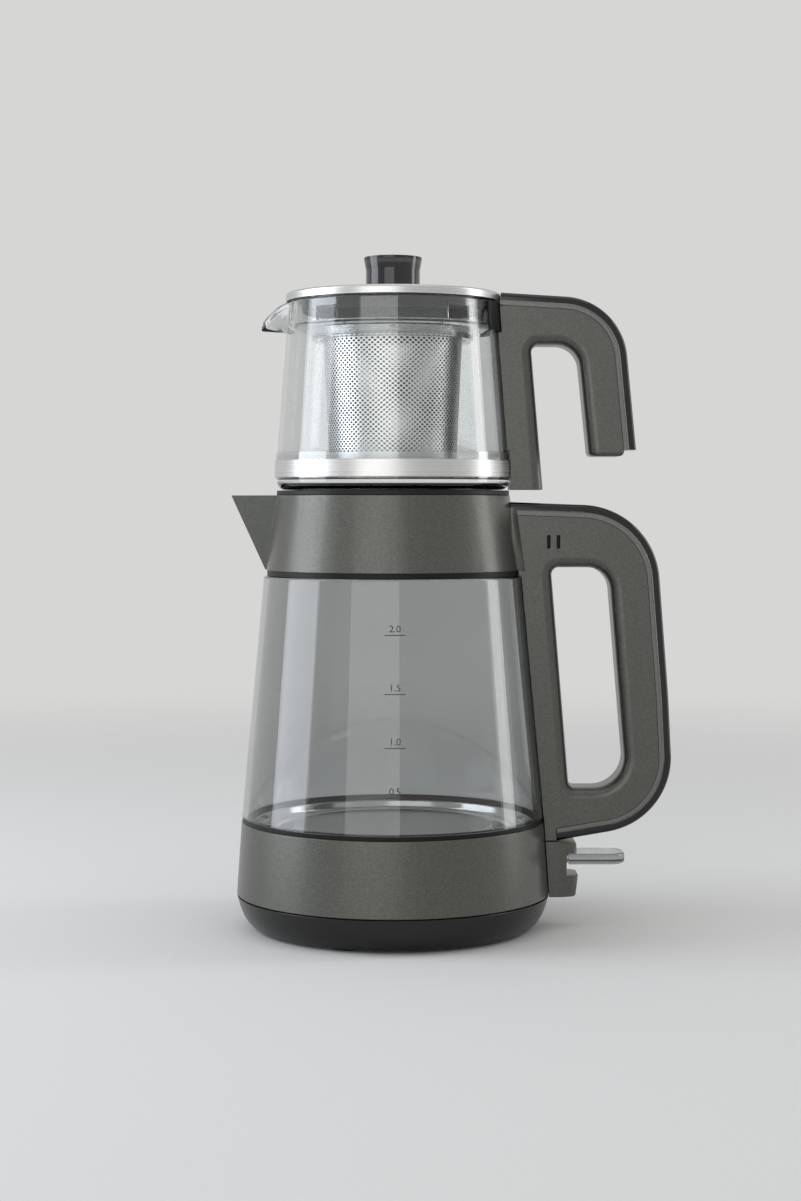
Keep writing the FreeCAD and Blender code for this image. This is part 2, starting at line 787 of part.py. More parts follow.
def along_edge(edge, side, box):
    """True for an edge that lies in the plane |y| = side, inside the box (x0, z0, x1, z1)."""
    bound = edge.BoundBox
    flat = bound.YLength < SAME and abs(abs(bound.YMin) - side) < SAME
    inside_x = bound.XMin > box[0] and bound.XMax < box[2]
    return flat and inside_x and bound.ZMin > box[1] and bound.ZMax < box[3]


# ---------------------------------------------------------------- power base
def build_base_shell():
    """A dished shell: curved wall, rim, recessed deck with a hole for the connector tower."""
    body = turned("base_shell", [
        ("base_bottom_radius", "foot_height"),
        ("base_bottom_radius + base_belly_step", "foot_height + base_belly_rise", "base_curve_radius"),
        ("base_top_radius", "base_top_height"),
        ("base_top_radius - base_rim", "base_top_height"),
        ("base_top_radius - base_rim - seat_gap", "deck_height"),
        ("tower_radius + seat_gap", "deck_height"),
        ("tower_radius + seat_gap", "deck_underside"),
        ("base_top_radius - base_rim - seat_gap - base_wall", "deck_underside"),
        ("base_cover_radius + seat_gap", "foot_height")])
    boss_bottom = "base_inner_height + seat_gap"
    round_bosses(body, "base_screw_circle", "base_screw_turn", "boss_radius", boss_bottom,
                 f"deck_underside - ({boss_bottom})", 4)
    round_bosses(body, "base_screw_circle", "base_screw_turn", "screw_radius + pin_gap", boss_bottom,
                 "screw_length", 4, cut=True)
    gland_hole = new_sketch(body, "XZ_Plane")
    draw_circle(gland_hole, 0, "gland_height", "gland_radius + pin_gap")
    extrude(body, gland_hole, "gland_end", cut=True)


def build_base_cover():
    """The base's floor: pockets for the feet, counterbored screw holes and a bare label pad."""
    body = turned("base_bottom_cover", rectangle(
        0, "foot_height", "base_cover_radius", "base_inner_height"))
    round_bosses(body, "base_screw_circle", "base_screw_turn", "screw_radius + pin_gap", "foot_height",
                 "base_cover_thickness", 4, cut=True)
    round_bosses(body, "base_screw_circle", "base_screw_turn", "screw_head_radius + seat_gap",
                 "foot_height", "screw_head_height - screw_stand_out", 4, cut=True)
    round_bosses(body, "foot_circle", "foot_turn", "foot_radius - foot_stud_step", "foot_height",
                 "base_cover_thickness", 4, cut=True)
    label_pad = new_sketch(body, "XY_Plane", "foot_height")
    draw_circle(label_pad, 0, 0, "label_radius")
    extrude(body, label_pad, "label_rise", backwards=True)


def build_base_feet():
    """Rubber feet: a pad on the table and a stud that plugs into the cover."""
    body = new_body("base_feet")
    pad = new_sketch(body, "XY_Plane", "0")
    draw_circle(pad, *at_circle("foot_circle", "foot_turn"), "foot_radius")
    repeat(body, extrude(body, pad, "foot_height"), 4)
    round_bosses(body, "foot_circle", "foot_turn", "foot_radius - foot_stud_step - pin_gap", "foot_height",
                 "base_cover_thickness", 4)


def build_screws(name, circle, angle, head_bottom, count):
    """Pan-head screws that are driven upwards."""
    body = new_body(name)
    head = new_sketch(body, "XY_Plane", head_bottom)
    draw_circle(head, *at_circle(circle, angle), "screw_head_radius")
    repeat(body, extrude(body, head, "screw_head_height"), count)
    round_bosses(body, circle, angle, "screw_radius", f"{head_bottom} + screw_head_height",
                 "screw_length - screw_head_height", count)


def build_base_connector():
    """The cordless socket: a tower with a ring groove and a centre hole, flanged under the deck."""
    turned("base_connector", [
        ("socket_radius", "groove_floor"),
        ("socket_radius", "tower_height - tower_core_drop"),
        ("groove_inner_radius", "tower_height - tower_core_drop"),
        ("groove_inner_radius", "groove_floor"),
        ("groove_outer_radius", "groove_floor"),
        ("groove_outer_radius", "tower_height"),
        ("tower_radius", "tower_height"),
        ("tower_radius", "deck_underside"),
        ("tower_radius + tower_flange", "deck_underside"),
        ("tower_radius + tower_flange", "deck_underside - tower_flange_thickness"),
        ("tower_radius", "deck_underside - tower_flange_thickness"),
        ("tower_radius", "base_inner_height"),
        (0, "base_inner_height"),
        (0, "groove_floor")])


def build_base_contacts():
    """Brass: a sleeve in the centre hole and a ring in the groove."""
    top = "groove_floor + contact_height"
    body = turned("base_contacts", rectangle(
        "groove_outer_radius - contact_wall", "groove_floor", "groove_outer_radius - pin_gap", top))
    revolve(body, rectangle(
        "socket_radius - contact_wall", "groove_floor", "socket_radius - pin_gap", top))


def build_cord_gland():
    """The bush that a supply lead passes through, at the back of the base."""
    body = new_body("cord_gland")
    outer = new_sketch(body, "XZ_Plane")
    draw_circle(outer, 0, "gland_height", "gland_radius")
    extrude(body, outer, "gland_end", backwards=True)
    bore = new_sketch(body, "XZ_Plane")
    draw_circle(bore, 0, "gland_height", "gland_bore")
    extrude(body, bore, "gland_end", cut=True)
    stub = new_sketch(body, "XY_Plane", "0")
    draw_outline(stub, rectangle("-2 * gland_radius", "-gland_stand_out", "2 * gland_radius",
                                 "gland_end - gland_length"))
    extrude(body, stub, "base_top_height", cut=True, backwards=True)


# ---------------------------------------------------------------- lower ring and underside of the kettle
def ring_radius(height):
    """The lower ring's outer radius at a height."""
    return f"(ring_bottom_radius - ring_taper * ({height} - ring_bottom_height) / ring_height)"


def build_lower_ring():
    """A tapered ring with a ledge for the heating plate, and bosses for the underside's screws."""
    ledge_bottom = "ring_ledge_height - ring_ledge_thickness"
    body = turned("lower_ring", [
        ("ring_bottom_radius", "ring_bottom_height"),
        ("ring_top_radius", "ring_top_height"),
        ("ring_top_radius - ring_wall", "ring_top_height"),
        (f"{ring_radius('ring_ledge_height')} - ring_wall", "ring_ledge_height"),
        ("ring_ledge_radius", "ring_ledge_height"),
        ("ring_ledge_radius", ledge_bottom),
        (f"{ring_radius(ledge_bottom)} - ring_wall", ledge_bottom),
        ("ring_bottom_radius - ring_wall", "ring_bottom_height")])
    bottom = "cover_bottom + cover_thickness"
    boss_top = "plate_valley_height - plate_thickness - saddle_gap"
    round_bosses(body, "ring_boss_circle", "ring_boss_turn", "boss_radius", bottom,
                 f"{boss_top} - ({bottom})", 3)
    rib_bottom = f"{bottom} + cover_wall_height"
    rib = outline_sketch(body, slanted_rectangle(
        "ring_boss_circle", "ring_top_radius", "ring_rib / 2", "ring_boss_turn"), "XY_Plane",
        rib_bottom)
    repeat(body, extrude(body, rib, f"{boss_top} - ({rib_bottom})"), 3)
    round_bosses(body, "ring_boss_circle", "ring_boss_turn", "screw_radius + pin_gap", bottom,
                 "screw_length", 3, cut=True)


def build_kettle_cover():
    """The kettle's black underside: a flat floor, an outer wall and a raised bore for the connector."""
    wall = "connector_plate_radius"
    body = turned("kettle_bottom_cover", [
        ("cover_radius", "cover_bottom"),
        ("cover_radius", "cover_bottom + cover_wall_height"),
        ("cover_radius - cover_thickness", "cover_bottom + cover_wall_height"),
        ("cover_radius - cover_thickness", "cover_bottom + cover_thickness"),
        (wall, "cover_bottom + cover_thickness"),
        (wall, "connector_bottom"),
        ("shroud_inner + shroud_wall + seat_gap", "connector_bottom"),
        ("shroud_inner + shroud_wall + seat_gap", "cover_bottom")])
    round_bosses(body, "ring_boss_circle", "ring_boss_turn", "screw_radius + pin_gap", "cover_bottom",
                 "cover_thickness", 3, cut=True)
    round_bosses(body, "ring_boss_circle", "ring_boss_turn", "screw_head_radius + seat_gap", "cover_bottom",
                 "screw_head_height", 3, cut=True)


def build_kettle_connector():
    """The insulating half of the cordless plug: a plate with a shroud that drops over the tower."""
    turned("kettle_connector", [
        (0, "connector_bottom"),
        ("shroud_inner", "connector_bottom"),
        ("shroud_inner", "cover_bottom + shroud_gap"),
        ("shroud_inner + shroud_wall", "cover_bottom + shroud_gap"),
        ("shroud_inner + shroud_wall", "connector_bottom"),
        ("connector_plate_radius", "connector_bottom"),
        ("connector_plate_radius", "connector_top"),
        (0, "connector_top")])


def build_connector_terminals():
    """Brass: the ring and the pin that reach down into the base."""
    reach = "groove_floor + terminal_reach"
    body = turned("connector_terminals", rectangle(
        "terminal_radius - terminal_wall", reach, "terminal_radius", "connector_bottom"))
    revolve(body, [
        (0, reach),
        ("terminal_pin_radius", reach, "terminal_nose"),
        ("terminal_pin_radius", "connector_bottom"),
        (0, "connector_bottom")])


def build_heating_plate():
    """A pressed steel floor for the water: raised disc, valley, bead and the flange in the seal."""
    rim = "ring_top_radius - ring_wall - saddle_gap"
    bead_in = "plate_bead_radius - plate_bead_half"
    bead_out = "plate_bead_radius + plate_bead_half"
    disc_edge = "plate_disc_radius - plate_disc_edge"
    disc_foot = "plate_disc_radius + plate_disc_foot"
    wall_foot = "ring_ledge_radius - plate_wall_foot"
    wall_head = "ring_ledge_radius - plate_wall_head"
    upper = [
        (disc_edge, "plate_disc_height"),
        (disc_foot, "plate_valley_height"),
        (bead_in, "plate_valley_height"),
        ("plate_bead_radius", "plate_bead_height"),
        (bead_out, "plate_valley_height"),
        (wall_foot, "plate_valley_height"),
        (wall_head, "ring_top_height"),
        (rim, "ring_top_height")]
    lower = [
        (rim, "ring_ledge_height"),
        (f"{wall_head} + plate_thickness", "ring_ledge_height"),
        (f"{wall_foot} + plate_thickness", "plate_valley_height - plate_thickness"),
        (bead_out, "plate_valley_height - plate_thickness"),
        ("plate_bead_radius", "plate_bead_height - plate_thickness"),
        (bead_in, "plate_valley_height - plate_thickness"),
        (disc_foot, "plate_valley_height - plate_thickness"),
        (disc_edge, "plate_disc_height - plate_thickness")]
    turned("heating_plate", [(0, "plate_disc_height")] + upper + lower
           + [(0, "plate_disc_height - plate_thickness")])


def build_heat_spreader():
    """An aluminium disc brazed under the heating plate."""
    turned("heat_spreader", rectangle(0, "spreader_bottom", "spreader_radius", "spreader_top"))


def build_heating_element():
    """A sheathed heater bent to most of a circle, under the spreader, with two cold ends."""
    body = new_body("heating_element")
    section = new_sketch(body)
    height = "spreader_bottom - element_radius"
    draw_circle(section, "element_circle", height, "element_radius")
    ring = body.newObject("PartDesign::Revolution", "heating_element_bend")
    ring.Profile = section
    ring.ReferenceAxis = (section, ["V_Axis"])
    bind(ring, "Angle", "element_sweep")
    finish(body, ring)
    for angle in ("0", "element_sweep"):
        end = new_sketch(body, "XY_Plane", "spreader_bottom - element_end_length")
        draw_circle(end, *at_circle("element_circle", f"-({angle})"), "element_radius - element_end_step")
        extrude(body, end, "element_end_length - element_radius")


def build_boil_dry_cutout():
    """A bimetal cut-out pressed against the spreader, inside the heater's circle."""
    body = new_body("boil_dry_cutout")
    half = "cutout_size / 2"
    bottom = "spreader_bottom - cutout_thickness"
    sketch = new_sketch(body, "XY_Plane", bottom)
    corner = "cutout_corner"
    draw_outline(sketch, [
        (f"-{half}", f"-{half}", corner),
        (half, f"-{half}", corner),
        (half, half, corner),
        (f"-{half}", half, corner)])
    extrude(body, sketch, "cutout_thickness")
    stem = new_sketch(body, "XY_Plane", "connector_top")
    draw_circle(stem, 0, 0, "cutout_size / 3")
    extrude(body, stem, f"{bottom} - connector_top")


# ---------------------------------------------------------------- glass, seals and collar
def build_kettle_glass():
    """A drawn glass cone, open at both ends, with a soft shoulder."""
    body = turned("kettle_glass", [
        ("glass_bottom_radius", "glass_bottom_height"),
        ("glass_top_radius", "glass_top_height"),
        ("glass_top_radius - glass_wall", "glass_top_height"),
        ("glass_bottom_radius - glass_wall", "glass_bottom_height")])
    fillet(body, "glass_shoulder", lambda edge: on_circle(edge, "glass_top_radius", "glass_top_height"))


def build_seals():
    """Silicone rings under and over the glass."""
    inner = "ring_ledge_radius + contact_gap"
    lip = "glass_bottom_radius - glass_wall - contact_gap"
    turned("lower_glass_seal", [
        (inner, "ring_top_height"),
        ("glass_bottom_radius - seal_inset", "ring_top_height"),
        ("glass_bottom_radius - seal_inset", "glass_bottom_height"),
        (lip, "glass_bottom_height"),
        (lip, "glass_bottom_height + seal_lip"),
        (inner, "glass_bottom_height + seal_lip_inner")])
    neck = "glass_top_radius - glass_wall + seat_gap"
    turned("upper_glass_seal", rectangle(
        neck, "glass_top_height", "collar_bottom_radius - seal_inset", "collar_bottom_height"))


def spout_section(body, height, tip):
    """A wedge in plan: its tip points along -X, and its root lies inside the collar."""
    half = f"(({tip}) - spout_root) * spout_slope"
    return outline_sketch(body, [
        (f"-({tip})", 0), ("-spout_root", f"-({half})"), ("-spout_root", half)], "XY_Plane", height)


def wing_section(body, height, radius):
    """The flare beside the handle, in plan: it leaves the collar and runs out along the handle."""
    side = "handle_width / 2 + seat_gap"
    meet = f"sqrt(({radius})^2 - wing_start^2)"
    end = f"{radius} + wing_stand_off"
    return outline_sketch(body, [
        ("wing_start - wing_root", side),
        (end, side),
        (end, f"{side} + wing_edge"),
        ("wing_start + wing_run", f"{side} + wing_width", "wing_curve_radius"),
        ("wing_start", meet),
        ("wing_start - wing_root", f"{meet} - collar_wall")], "XY_Plane", height)


def build_collar():
    """The metal collar: a cone with a V spout, flares for the handle and a steam inlet."""
    body = turned("collar", [
        (0, "collar_bottom_height"), ("collar_bottom_radius", "collar_bottom_height"),
        ("collar_top_radius", "collar_top_height"), (0, "collar_top_height")])
    loft(body, [spout_section(body, "collar_top_height", "spout_reach"),
                spout_section(body, "collar_bottom_height", "spout_foot_reach")])
    wing_rise = "(wing_top_height - collar_bottom_height)"
    top_radius = f"collar_bottom_radius - collar_taper * {wing_rise} / collar_height"
    wing = loft(body, [wing_section(body, "collar_bottom_height", "collar_bottom_radius"),
                       wing_section(body, "wing_top_height", top_radius)])
    mirror(body, wing)
    revolve(body, [
        (0, "collar_bottom_height - cut_margin"),
        ("collar_bottom_radius - collar_wall", "collar_bottom_height - cut_margin"),
        ("collar_bottom_radius - collar_wall", "collar_bottom_height"),
        ("collar_top_radius - collar_wall", "collar_top_height"),
        ("collar_top_radius - collar_wall", "collar_top_height + cut_margin"),
        (0, "collar_top_height + cut_margin")], cut=True)
    narrow = "spout_wall / sin(atan(spout_slope))"
    foot = f"spout_foot_reach + spout_inner_step - {narrow}"
    loft(body, [spout_section(body, "collar_top_height + contact_gap", f"spout_reach - {narrow}"),
                spout_section(body, "collar_bottom_height + spout_floor", foot)], cut=True)
    add_steam_path(body, "steam_radius + pin_gap", cut=True)


def build_pot_ring():
    """The black ring that closes the collar and carries the teapot."""
    top = "pot_bottom_height - seat_gap"
    skirt = "collar_top_radius - collar_wall - pot_ring_skirt_gap"
    skirt_bottom = "collar_top_height - pot_ring_skirt"
    body = turned("pot_seat_ring", [
        ("pot_ring_bore", "collar_top_height"),
        (f"{skirt} - pot_ring_skirt_wall - contact_gap", "collar_top_height"),
        (f"{skirt} - pot_ring_skirt_wall", skirt_bottom),
        (skirt, skirt_bottom),
        (skirt, "collar_top_height"),
        ("collar_top_radius - saddle_gap", "collar_top_height"),
        ("collar_top_radius - saddle_gap", top),
        ("pot_ring_bore + pot_ring_lip", top),
        ("pot_ring_bore + pot_ring_lip - pot_ring_lip_step", f"{top} + pot_ring_lip"),
        ("pot_ring_bore", f"{top} + pot_ring_lip")])
    notch = outline_sketch(body, rectangle(
        "-pot_ring_notch / 2", f"{skirt_bottom} - cut_margin", "pot_ring_notch / 2",
        "collar_top_height - pot_ring_lip"), "YZ_Plane")
    extrude(body, notch, "collar_top_radius + cut_margin", cut=True)


# ---------------------------------------------------------------- handle of the kettle
HANDLE_OUTLINE = [
    ("handle_inner_end", "handle_foot_z - (handle_foot_x - handle_inner_end) * tan(handle_sole_slope)"),
    ("handle_low_x", "handle_low_z", "handle_low_radius"),
    ("handle_waist_x", "handle_waist_z", "handle_waist_radius"),
    ("handle_top_x", "handle_top_z", "handle_top_radius"),
    ("handle_inner_end", "handle_top_start")]


def kettle_envelope(gap):
    """The turned outside of the kettle, grown by a gap, that handle pieces are cut with."""
    low = "housing_bottom_z - cut_margin"
    return [
        (0, low),
        (f"ring_bottom_radius + {gap}", low),
        (f"ring_bottom_radius + {gap}", "ring_bottom_height"),
        (f"ring_top_radius + {gap}", "ring_top_height"),
        (f"glass_bottom_radius + {gap}", "glass_bottom_height"),
        (f"glass_top_radius + {gap}", "glass_top_height"),
        (f"glass_top_radius + {gap}", "collar_bottom_height"),
        (f"collar_bottom_radius + {gap}", "collar_bottom_height"),
        (f"collar_top_radius + {gap}", "collar_top_height"),
        (f"collar_top_radius + {gap}", "collar_top_height + 2 * cut_margin"),
        (0, "collar_top_height + 2 * cut_margin")]


def add_steam_path(body, radius, cut):
    """The steam duct's run: level from the collar, round a bend and down the leg to the switch."""
    path = new_sketch(body)
    draw_outline(path, [
        ("steam_inlet_x", "steam_inlet_z"),
        ("steam_bend_x", "steam_inlet_z", "steam_bend_radius"),
        ("steam_outlet_x", "steam_outlet_z")], closed=False)
    section = new_sketch(body, "YZ_Plane", "steam_inlet_x")
    draw_circle(section, 0, "steam_inlet_z", radius)
    kind = "PartDesign::SubtractivePipe" if cut else "PartDesign::AdditivePipe"
    pipe = body.newObject(kind, body.Name + "_duct")
    pipe.Profile = section
    pipe.Spine = path
    return finish(body, pipe)


def grip_box():
    """The finger gap's surroundings, for picking its edges."""
    left = value("gap_upper_left_x") - PICK_MARGIN
    right = value("gap_lower_right_x") + PICK_MARGIN
    return left, value("gap_lower_z") - PICK_MARGIN, right, value("gap_upper_z") + PICK_MARGIN


def build_kettle_handle():
    """The grey moulding: a leg on the glass, a grip round the finger gap, vents at the top."""
    layers = "trim_thickness + band_thickness + 2 * layer_gap"
    body = plate("kettle_handle", inset(HANDLE_OUTLINE, layers), "handle_width")
    foot = outline_sketch(body, rectangle(
        "handle_inner_end + handle_root", "handle_foot_z + seat_gap", "handle_foot_x - seat_gap",
        "handle_foot_z + handle_foot_height"))
    extrude(body, foot, "handle_width", both_ways=True)
    cut_plate(body, [
        ("gap_lower_left_x", "gap_lower_z", "gap_small_radius"),
        ("gap_lower_right_x", "gap_lower_z", "gap_lower_radius"),
        ("gap_upper_right_x", "gap_upper_z", "gap_upper_radius"),
        ("gap_upper_left_x", "gap_upper_z", "gap_small_radius")], "handle_width + cut_margin")
    side = value("handle_width") / 2
    fillet(body, "grip_edge", lambda edge: along_edge(edge, side, grip_box()))
    revolve(body, kettle_envelope("saddle_gap"), cut=True)
    bottom_cut = rectangle("handle_inner_end", "0", "handle_foot_x + cut_margin", "handle_foot_z + seat_gap")
    cut_plate(body, bottom_cut, "handle_width + cut_margin")
    add_steam_path(body, "steam_radius + pin_gap", cut=True)
    for number in range(2):
        left = f"vent_x + {number} * vent_pitch - vent_width / 2"
        vent = new_sketch(body, "XZ_Plane", "handle_width / 2 - vent_depth")
        draw_outline(vent, [
            (left, "vent_bottom_z", "vent_corner"),
            (f"{left} + vent_width", "vent_bottom_z", "vent_corner"),
            (f"{left} + vent_width", "vent_bottom_z + vent_height", "vent_corner"),
            (left, "vent_bottom_z + vent_height", "vent_corner")])
        mirror(body, extrude(body, vent, "vent_depth + cut_margin", cut=True, backwards=True))


def build_strip(name, outline, outer_inset, inner_inset, width, keep_off):
    """One of the two strips along a handle's back: what lies between two insets of its outline."""
    body = plate(name, inset(outline, outer_inset), width)
    cut_plate(body, inset(outline, inner_inset), f"{width} + cut_margin")
    cut_plate(body, keep_off, f"{width} + cut_margin")
    return body


HANDLE_FOOT_CUT = rectangle(
    "handle_inner_end - cut_margin", "0", "handle_foot_x", "handle_foot_z + strip_foot_height")


def build_kettle_handle_strips():
    """The grey band and the gloss black trim along the back of the kettle's handle."""
    trim_width = "handle_width - 2 * trim_side_step"
    for name, outer, inner, width, edge in (
            ("kettle_handle_band", "trim_thickness + layer_gap",
             "trim_thickness + band_thickness + layer_gap", "handle_width", "band_edge"),
            ("kettle_handle_trim", "0", "trim_thickness", trim_width, "trim_edge")):
        body = build_strip(name, HANDLE_OUTLINE, outer, inner, width, HANDLE_FOOT_CUT)
        revolve(body, kettle_envelope("saddle_gap"), cut=True)
        fillet_outer(body, HANDLE_OUTLINE, value(outer) + PICK_MARGIN, width, edge)


def fillet_outer(body, outline, depth, width, edge):
    """Rounds the outermost long edges of a strip, those within a depth of the handle's outline."""
    side = value(width) / 2
    points = [VECTOR(value(corner[0]), 0, value(corner[1])) for corner in outline]
    reach = max(point.x for point in points)

    def outermost(item):
        bound = item.BoundBox
        if bound.YLength > SAME or abs(abs(bound.YMin) - side) > SAME:
            return False
        middle = item.valueAt((item.FirstParameter + item.LastParameter) / 2)
        probe = VECTOR(middle.x, 0, middle.z)
        return outline_distance(outline, probe) < depth and middle.x < reach

    fillet(body, edge, outermost)


def outline_distance(outline, probe):
    """How far a point of the XZ plane is from a rounded outline."""
    wire = outline_wire(outline)
    return wire.distToShape(Part.Vertex(probe))[0]


def outline_wire(outline):
    points = [VECTOR(value(corner[0]), 0, value(corner[1])) for corner in outline]
    edges = []
    count = len(points)
    stops = []
    for index, corner in enumerate(outline):
        if len(corner) == 3:
            ahead = points[(index + 1) % count]
            start, end, centre = tangent_points(points[index], points[index - 1], ahead, value(corner[2]))
            outward = (points[index] - centre).normalize()
            middle = centre + outward * value(corner[2])
            edges.append(Part.Arc(start, middle, end).toShape())
            stops.append((start, end))
        else:
            stops.append((points[index], points[index]))
    for index in range(count):
        edges.append(Part.LineSegment(stops[index][1], stops[(index + 1) % count][0]).toShape())
    return Part.Compound(edges)


# ---------------------------------------------------------------- switch
def build_switch_housing():
    """The moulded box under the handle's leg, notched for the lever, hollow for its switch."""
    body = plate("switch_housing", [
        ("handle_inner_end + handle_root", "housing_bottom_z"),
        ("housing_low_x", "housing_bottom_z", "housing_low_corner"),
        ("housing_belly_x", "slot_bottom_z"),
        ("housing_high_x", "housing_top_z - housing_shoulder", "housing_high_corner"),
        ("handle_foot_x", "housing_top_z"),
        ("handle_inner_end + handle_root", "housing_top_z")], "handle_width")
    revolve(body, kettle_envelope("saddle_gap"), cut=True)
    cut_plate(body, rectangle("slot_x", "slot_bottom_z", "housing_belly_x + cut_margin", "slot_top_z"),
              "handle_width + cut_margin")
    cut_plate(body, rectangle("chamber_x", "chamber_bottom_z", "slot_x - mouth_wall", "chamber_top_z"),
              "2 * chamber_half_width")
    mouth = rectangle(
        "slot_x - 2 * mouth_wall", "slot_bottom_z + mouth_wall", "slot_x + mouth_wall", "slot_top_z")
    cut_plate(body, mouth, "2 * chamber_half_width")
    add_steam_path(body, "steam_radius + pin_gap", cut=True)
    pin = new_sketch(body)
    draw_circle(pin, "lever_pivot_x", "lever_pivot_z", "pin_radius + press_gap")
    extrude(body, pin, "handle_width - 2 * pin_inset", cut=True, both_ways=True)


def build_switch_pin():
    body = new_body("switch_pin")
    sketch = new_sketch(body)
    draw_circle(sketch, "lever_pivot_x", "lever_pivot_z", "pin_radius")
    extrude(body, sketch, "handle_width - 2 * pin_inset - 2 * seat_gap", both_ways=True)


def build_switch_lever():
    """A clear paddle with a hub on the hinge pin."""
    body = new_body("switch_lever")
    plan = new_sketch(body, "XY_Plane", "lever_bottom_z")
    half = "lever_width / 2"
    root = "slot_x + lever_root_gap"
    draw_outline(plan, [
        (root, f"-({half})"),
        ("lever_tip_x", f"-({half})", "lever_corner"),
        ("lever_tip_x", half, "lever_corner"),
        (root, half)])
    extrude(body, plan, "lever_top_z - lever_bottom_z")
    neck = outline_sketch(body, rectangle(
        "lever_pivot_x", "lever_bottom_z + neck_floor", "slot_x + neck_reach", "lever_top_z - neck_roof"))
    extrude(body, neck, "lever_hub_width", both_ways=True)
    hub = new_sketch(body)
    draw_circle(hub, "lever_pivot_x", "lever_pivot_z", "lever_hub_radius")
    extrude(body, hub, "lever_hub_width", both_ways=True)
    bore = new_sketch(body)
    draw_circle(bore, "lever_pivot_x", "lever_pivot_z", "pin_radius + pin_gap")
    extrude(body, bore, "lever_hub_width + cut_margin", cut=True, both_ways=True)
    level = (value("lever_bottom_z"), value("lever_top_z"))
    start = value("slot_x + 2 * neck_reach")

    def paddle_rim(edge):
        bound = edge.BoundBox
        flat = bound.ZLength < SAME and min(abs(bound.ZMin - height) for height in level) < SAME
        return flat and bound.XMax > start

    fillet(body, "lever_edge", paddle_rim)


def build_steam_switch():
    """The snap switch under the lever's hub, with its spring leaf on top."""
    plate("steam_switch", rectangle(
        "chamber_x + seat_gap", "chamber_bottom_z", "slot_x - switch_gap - seat_gap", "switch_top_z"),
        "2 * (chamber_half_width - contact_gap)")
    plate("lever_spring", [
        ("chamber_x + 2 * contact_gap", "switch_top_z"),
        ("slot_x - switch_gap - neck_roof", "switch_top_z"),
        ("lever_pivot_x - neck_floor", "switch_top_z + leaf_height"),
        ("lever_pivot_x - neck_floor - neck_roof", "switch_top_z + leaf_height")], "leaf_width")


def build_indicator_lamp():
    """The lamp that shines into the root of the clear lever."""
    body = new_body("indicator_lamp")
    sketch = new_sketch(body, "XY_Plane", "chamber_top_z - lamp_height")
    draw_circle(sketch, "lever_pivot_x", 0, "lamp_radius")
    extrude(body, sketch, "lamp_height")


# ---------------------------------------------------------------- teapot
def pot_radius(height):
    """The teapot's outer radius above its shoulder."""
    rise = "(pot_top_height - pot_shoulder_height)"
    return f"(pot_body_radius - pot_taper * ({height} - pot_shoulder_height) / {rise})"


LIP_ROOT = pot_radius("lip_tip_height")
# The beak's sections from its root to its tip: distance from the axis, half width, bottom and top.
LIP_OUTSIDE = [
    (f"{LIP_ROOT} - lip_root_depth", "lip_half_width", "lip_floor_z - lip_root_under", "pot_top_height"),
    (f"{LIP_ROOT} - lip_swell_depth", "lip_half_width * lip_swell_share", "lip_floor_z + contact_gap",
     "pot_top_height - seat_gap"),
    ("lip_reach - lip_bend", "lip_half_width * lip_bend_share", "lip_tip_height - lip_bend_under",
     "pot_top_height - lip_bend_drop"),
    ("lip_reach", "lip_half_width * lip_tip_share", "lip_tip_height - lip_tip_under",
     "lip_tip_height + lip_tip_over")]
LIP_INSIDE = [
    (f"{LIP_ROOT} - lip_root_depth", "lip_half_width - lip_wall - seat_gap",
     "lip_floor_z + lip_wall + seat_gap", "pot_top_height + lip_open"),
    (f"{LIP_ROOT} - lip_swell_depth", "lip_half_width * lip_swell_share - lip_wall",
     "lip_floor_z + 2 * lip_wall + contact_gap", "pot_top_height + lip_open"),
    ("lip_reach - lip_bend", "lip_half_width * lip_bend_share - lip_bend_wall",
     "lip_tip_height + lip_bend_floor", "pot_top_height - contact_gap"),
    ("lip_reach + lip_swell_depth", "lip_half_width * lip_tip_share - lip_tip_wall",
     "lip_tip_height + lip_tip_floor", "pot_top_height - lip_tip_open")]


def lip_section(body, reach, half_width, bottom, top):
    """A U across the spout, in a plane that faces along X."""
    floor = f"({half_width}) * lip_floor_share"
    rounding = f"({half_width}) * lip_rounding_share"
    return outline_sketch(body, [
        (f"-({floor})", bottom, rounding),
        (floor, bottom, rounding),
        (half_width, top),
        (f"-({half_width})", top)], "YZ_Plane", f"-({reach})")


def build_teapot_glass():
    """Blown glass: a round heel, a slightly tapered wall and a beak pulled out of the rim."""
    body = turned("teapot_glass", [
        (0, "pot_bottom_height + pot_floor_lift"),
        ("pot_foot_radius - pot_floor_inset - pot_floor_step", "pot_bottom_height + pot_floor_lift"),
        ("pot_foot_radius - pot_floor_inset", "pot_bottom_height"),
        ("pot_body_radius", "pot_bottom_height", "pot_heel_radius"),
        ("pot_body_radius", "pot_shoulder_height", "pot_shoulder_radius"),
        ("pot_top_radius", "pot_top_height"),
        (0, "pot_top_height")])
    loft(body, [lip_section(body, *station) for station in LIP_OUTSIDE], ruled=False)
    floor = "pot_bottom_height + pot_floor_lift + pot_floor_thickness"
    inner = "pot_body_radius - pot_wall"
    revolve(body, [
        (0, floor),
        (f"{inner} - pot_inner_heel", floor),
        (inner, f"{floor} + pot_inner_heel"),
        (inner, "pot_shoulder_height", "pot_shoulder_radius"),
        ("pot_top_radius - pot_wall", "pot_top_height"),
        ("lip_reach + cut_margin", "pot_top_height"),
        ("lip_reach + cut_margin", "pot_top_height + cut_margin"),
        (0, "pot_top_height + cut_margin")], cut=True)
    loft(body, [lip_section(body, *station) for station in LIP_INSIDE], cut=True, ruled=False)


